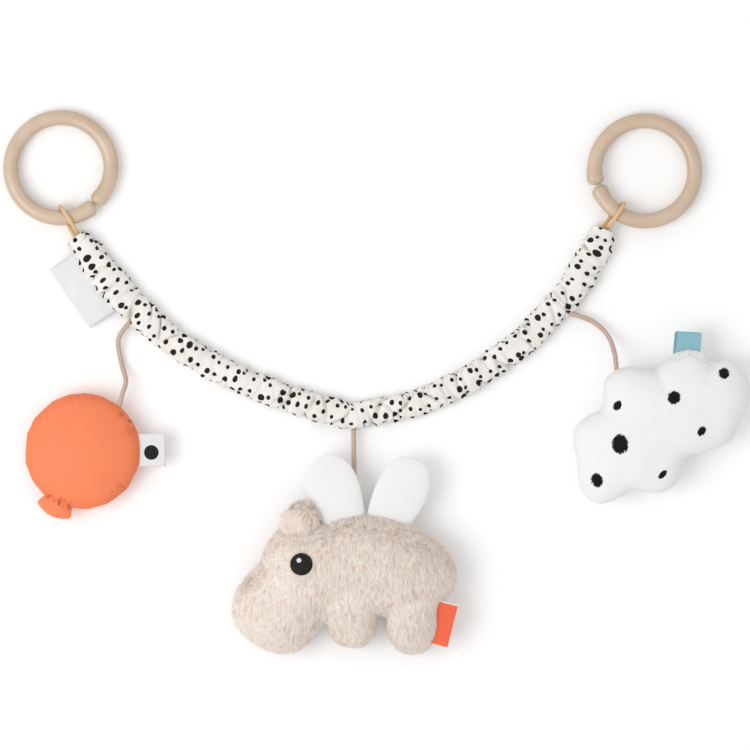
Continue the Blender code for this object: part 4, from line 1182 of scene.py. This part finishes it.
def stuffed_form(x, y, long, wide, thick, turn, taper, boxy, level):
    """A sphere stretched, tapered and turned to a form's row, in shares of the hippo's length."""
    bpy.ops.object.select_all(action="DESELECT")
    bpy.ops.mesh.primitive_uv_sphere_add(segments=48, ring_count=24, radius=1.0)
    form = bpy.context.object
    turned = Matrix.Rotation(radians(turn), 3, "Z")
    centre = HIPPO_CENTRE + Vector((x * HIPPO_LENGTH, y * HIPPO_LENGTH, 0))
    centre.z = level
    for vert in form.data.vertices:
        px, py, pz = (boxed(part, boxy) for part in vert.co)
        place = Vector((px * long * HIPPO_LENGTH, py * (1 + taper * px) * wide * HIPPO_LENGTH,
                        pz * thick / 2))
        vert.co = centre + turned @ place
    return form


forms = [stuffed_form(*row) for row in FORMS]
hippo = forms[0]
select(*forms)
bpy.ops.object.join()
hippo.name = "hippo_plush_skin"
print("Joined", len(FORMS), "forms")

# %% [markdown]
# The joined skin is swollen a little, melted, smoothed and drawn back, which fills the sharp angle
# between two forms with a soft web. The broad faces then settle, as loose filling does. The ears
# join last, so that their small shape stays.

# %% One skin
WEB = 0.0016
VOXEL = 0.0012
EAR_VOXEL = 0.0011
remesh(hippo, VOXEL)
apply_modifier(hippo, "DISPLACE", strength=WEB, mid_level=0.0)
remesh(hippo, VOXEL)
apply_modifier(hippo, "SMOOTH", factor=0.5, iterations=20)
apply_modifier(hippo, "DISPLACE", strength=-WEB, mid_level=0.0)
remesh(hippo, VOXEL)


def points_and_normals(mesh):
    found = []
    for kind in ("co", "normal"):
        values = np.empty(len(mesh.vertices) * 3)
        mesh.vertices.foreach_get(kind, values)
        found.append(values.reshape(-1, 3))
    return found


def settle(skin, rounds):
    """Heights of the two broad faces drift to their neighbours' mean; the outline stays."""
    mesh = skin.data
    co, normals = points_and_normals(mesh)
    mean = neighbours_mean([edge.vertices[:] for edge in mesh.edges], len(co))
    loose = np.clip((abs(normals[:, 2]) - 0.25) / 0.35, 0, 1)
    for _ in range(rounds):
        co[:, 2] += 0.6 * loose * (mean(co[:, 2]) - co[:, 2])
    mesh.vertices.foreach_set("co", co.reshape(-1))
    mesh.update()


settle(hippo, 110)
select(hippo, *(stuffed_form(*row) for row in EARS))
bpy.ops.object.join()
remesh(hippo, EAR_VOXEL)
apply_modifier(hippo, "SMOOTH", factor=0.5, iterations=8)
for vert in hippo.data.vertices:
    vert.co.z = max(0.00015, vert.co.z)
hippo.data.shade_smooth()
print("Skin of", len(hippo.data.polygons), "faces")

# %% [markdown]
# ## Coat
#
# Short plush has visible hairs here, so a pile of small blades grows on the skin and fuzzes its
# outline. The blades' map holds the way up a hair and a random number for each hair. Noise
# stretched down the flank gathers the hairs into pale locks with warm gaps.

# %% Plush finishes
skin_plush = Finish("beige_backing", 0.95)
skin_plush.two_tone(skin_plush.noise(600.0, 3.0), (0.76, 0.62, 0.52), (0.88, 0.78, 0.70), 0.0008)

# Painted light: the pile glows faintly in its own colour, which lifts the shade its hairs cast on
# one another.
pile_plush = Finish("beige_pile", 0.9, Sheen_Weight=0.3, Emission_Strength=0.04)
root, strand, _ = pile_plush.axes(pile_plush.along())
clump = pile_plush.noise(90.0, 3.0).between(0.35, 0.7)
locks = pile_plush.noise(860.0, 2.0, 0.6, pile_plush.stretched(1.0, 0.16, 0.5))
warm = pile_plush.mix(strand, (0.60, 0.40, 0.28), (0.86, 0.68, 0.57))
pale = pile_plush.mix(strand, (0.85, 0.735, 0.645), (0.93, 0.88, 0.83))
# Painted shade: each hair is painted darker towards its root; the clumps add tone that differs at
# random.
root_shade_and_clumps = root.between(0.0, 0.7) * 0.40 + clump * 0.12
hair = pile_plush.mix(root_shade_and_clumps + locks.between(0.36, 0.51) * 0.52 + 0.03, warm, pale)
pile_plush.paint(hair)
pile_plush.plug(pile_plush.shader.inputs["Emission Color"], hair)
print("Roots darker than tips")

# %% Places on a skin


def on_skin(skin, count, rng):
    """Places and normals scattered evenly over a skin, fewer on its underside."""
    mesh = skin.data
    mesh.calc_loop_triangles()
    corners = np.array([t.vertices[:] for t in mesh.loop_triangles])
    co, normals = points_and_normals(mesh)
    a, b, c = co[corners[:, 0]], co[corners[:, 1]], co[corners[:, 2]]
    cross = np.cross(b - a, c - a)
    area = np.linalg.norm(cross, axis=1)
    area = area * np.where(cross[:, 2] < -0.6 * area, 0.3, 1.0)
    picked = rng.choice(len(corners), count, p=area / area.sum())
    s, t = rng.random((2, count))
    over = s + t > 1
    s[over], t[over] = 1 - s[over], 1 - t[over]
    weights = ((1 - s - t)[:, None], s[:, None], t[:, None])
    root = sum(w * co[corners[picked, k]] for k, w in enumerate(weights))
    n = sum(w * normals[corners[picked, k]] for k, w in enumerate(weights))
    return root, n / np.linalg.norm(n, axis=1)[:, None]


def swirl(root, scale, seed):
    """A slow random turn, the same for hairs that stand together."""
    return np.array([noise.noise(Vector(p) / scale + Vector((seed, 0, 0))) for p in root])


print("Places and normals come from the skin's triangles")

# %% Blades
BLADE_UP = (0.0, 0.0, 0.55, 0.55, 0.55, 0.55, 1.0)


def pile(name, skin, count, length, width, lean, mess, seed, comb):
    """Small bent blades; comb says where they grow, their way, their light and their length."""
    rng = np.random.default_rng(seed)
    root, n = on_skin(skin, count, rng)
    wanted, *combed = comb(root, n)
    root, n, flow, light, share = (values[wanted] for values in (root, n, *combed))
    total = len(root)
    flow = flow + rng.normal(0, mess, (total, 3))
    flow -= n * (flow * n).sum(1)[:, None]
    flow /= np.linalg.norm(flow, axis=1)[:, None] + 1e-9
    long = (length * rng.uniform(0.65, 1.25, total) * share)[:, None]
    side = np.cross(flow, n)
    twist = rng.normal(0, 0.25, total)[:, None]
    side = side * np.cos(twist) + n * np.sin(twist)
    middle = root + flow * long * 0.5 + n * long * lean
    tip = root + flow * long + n * long * lean * 1.15
    start = root - n * length * 0.08
    wide = width * rng.uniform(0.7, 1.2, total)[:, None] / 2
    points = np.stack([start - side * wide, start + side * wide, middle + side * wide * 0.8,
                       middle - side * wide * 0.8, tip], axis=1).reshape(-1, 3)
    points[:, 2] = np.maximum(points[:, 2], 0.00012)
    made = bpy.data.meshes.new(name)
    made.from_pydata(points.tolist(), [], [
        face for k in range(0, 5 * total, 5)
        for face in ((k, k + 1, k + 2, k + 3), (k + 3, k + 2, k + 4))])
    shade = np.repeat(rng.random(total) * light, len(BLADE_UP))
    chart = np.stack([np.tile(BLADE_UP, total), shade], axis=1).astype(np.float32)
    made.uv_layers.new(name="along").data.foreach_set("uv", chart.reshape(-1))
    made.validate()
    piece = as_piece(name, made)
    facing = n + flow * 0.25 + side * rng.normal(0, 0.22, total)[:, None]
    facing /= np.linalg.norm(facing, axis=1)[:, None]
    made.normals_split_custom_set_from_vertices(np.repeat(facing, 5, axis=0).tolist())
    return piece


print("A blade is a bent strip with a point")

# %% [markdown]
# The hippo's hair lies down the flanks and forward over the muzzle, stands messy along the back's
# seam, and parts round the eye. The cloud only gets a few upright tufts at the ribbon's foot.

# %% Coats
EYE_PLACE = (HIPPO_CENTRE.x - 0.366 * HIPPO_LENGTH, HIPPO_CENTRE.y + 0.018 * HIPPO_LENGTH)
EYE_RADIUS = 0.0067
EYE_SIDE = 0.022
RIBBON_FOOT = (0.1865, 0.0150)


def hippo_coat(root, n):
    off = root[:, :2] - np.array(EYE_PLACE)
    from_eye = np.hypot(off[:, 0], off[:, 1])
    front = root[:, 2] > EYE_SIDE
    wanted = (root[:, 2] > 0.002) & ((from_eye > EYE_RADIUS + 0.0002) | ~front)
    ahead = np.clip((HIPPO_CENTRE.x - 0.030 - root[:, 0]) / 0.03, 0, 1)
    turn = swirl(root, 0.011, 4.0) * 1.1 + swirl(root, 0.0026, 14.0) * 0.6
    flow = np.stack([0.1 - 0.9 * ahead + turn, -1.0 + 0.3 * ahead, np.full(len(root), -0.35)],
                    axis=1)
    crest = np.clip((n[:, 1] - 0.35) / 0.3, 0, 1)[:, None]
    ruffled = swirl(root, 0.0034, 21.0) * 2.4
    messy = np.stack([0.7 + ruffled, 0.3 - ruffled, np.full(len(root), -0.4)], axis=1)
    flow = flow * (1 - crest) + messy * crest
    around = off / (from_eye[:, None] + 1e-9)
    near = np.clip(1 - (from_eye - EYE_RADIUS) / 0.004, 0, 0.8)[:, None]
    flow[:, :2] = flow[:, :2] * (1 - near) + around * near
    share = np.where(front, np.clip((from_eye - EYE_RADIUS) / 0.0054, 0.3, 1), 1.0)
    share = share * (1 + 0.25 * crest[:, 0])
    return wanted, flow, 1 - 0.25 * np.clip((n[:, 1] - 0.15) / 0.5, 0, 1), share


def cloud_coat(root, n):
    turn = swirl(root, 0.004, 9.0) * 1.2
    flow = np.stack([turn, np.full(len(root), 0.9), np.full(len(root), -0.2)], axis=1)
    from_ribbon = np.hypot(*(root[:, :2] - np.array(RIBBON_FOOT)).T)
    in_seam = abs(root[:, 2] - CLOUD_CENTRE.z) < 0.008
    wanted = in_seam & (from_ribbon < 0.0100) & (n[:, 1] > 0.50)
    return wanted, flow, np.ones(len(root)), np.ones(len(root))


cloud_pile = pile("cloud_tufts", cloud, 60000, 0.0032, 0.00036, 0.22, 0.30, 11, cloud_coat)
hand_over(cloud_pile, "cloud", "cloud_plush", glowing_tuft_white)
coats = [pile("hippo_pile_" + name, hippo, 62000, 0.0053, 0.00042, 0.17, 0.13, seed, hippo_coat)
         for name, seed in (("under", 7), ("over", 8))]
hand_over(hippo, "hippo", "beige_plush", skin_plush, "hippo_body", "hippo_head", "hippo_muzzle",
          "hippo_front_leg", "hippo_hind_leg", "hippo_ear_near", "hippo_ear_far")
for coat in coats:
    hand_over(coat, "hippo", "beige_plush", pile_plush)

# %% [markdown]
# ## Eye
#
# The eye is a round patch of satin stitch: threads side by side, with a small pale highlight sewn
# in. A flattened sphere makes the padded patch, and a wave makes the threads.

# %% Eye patch
EYE_LEVEL = 0.0318
EYE_CUT = 0.0314
EYE_FLAT = 0.26
GLINT = (EYE_PLACE[0] - 0.0014, EYE_PLACE[1] + 0.0024)
eye_thread = Finish("eye_thread", 0.6, Specular_IOR_Level=0.3)
x, y, _ = eye_thread.axes()
threads = (x * 0.9 + y * 0.44).ribs(0.00045)
glint = 1 - eye_thread.away_from(GLINT)[2].between(0.0013, 0.0015)
dark = eye_thread.mix(threads, grey(0.004), (0.022, 0.021, 0.021))
eye_thread.paint(eye_thread.mix(glint, dark, (0.85, 0.85, 0.84)))
eye_thread.bump(threads, 0.0002)
bpy.ops.object.select_all(action="DESELECT")
bpy.ops.mesh.primitive_uv_sphere_add(segments=48, ring_count=24, radius=EYE_RADIUS)
eye = bpy.context.object
eye.name = "hippo_eye_patch"
eye.data.transform(Matrix.Translation((*EYE_PLACE, EYE_LEVEL))
                   @ Matrix.Scale(EYE_FLAT, 4, (0, 0, 1)))
bpy.ops.object.mode_set(mode="EDIT")
bpy.ops.mesh.select_all(action="SELECT")
bpy.ops.mesh.bisect(plane_co=(0, 0, EYE_CUT), plane_no=(0, 0, 1), use_fill=True,
                    clear_inner=True)
bpy.ops.object.mode_set(mode="OBJECT")
eye.location = (0, 0, 0)
eye.data.shade_smooth()
hand_over(eye, "hippo", "eye_thread", eye_thread, "hippo_eye")

# %% [markdown]
# ## Wings
#
# Two white velour petals, lightly stuffed, stand out of the back's seam. Each is a stretched sphere
# like the stuffed forms, which thins towards its edge.

# %% Wings
velour = Finish("white_velour", 0.9, Sheen_Weight=0.4)
nap = velour.noise(1300.0, 3.0, 0.6)
brushed = velour.noise(70.0)
velour.paint(velour.mix(nap * 0.5 + brushed * 0.5, (0.78, 0.775, 0.765), (0.89, 0.885, 0.875)))
velour.bump(nap * 0.6 + brushed * 0.6, 0.0005, 0.7)
for name, row in (
        ("left", (-0.199, 0.276, 0.235, 0.111, 0.0070, 108, 0.30, 0.92, 0.0180)),
        ("right", (0.046, 0.273, 0.235, 0.110, 0.0070, 64, 0.30, 0.92, 0.0180))):
    wing = stuffed_form(*row)
    wing.name = "hippo_wing_" + name + "_velour"
    apply_modifier(wing, "SUBSURF", levels=1, render_levels=1)
    wing.data.shade_smooth()
    hand_over(wing, "hippo", "white_velour", velour, "hippo_wing_" + name)
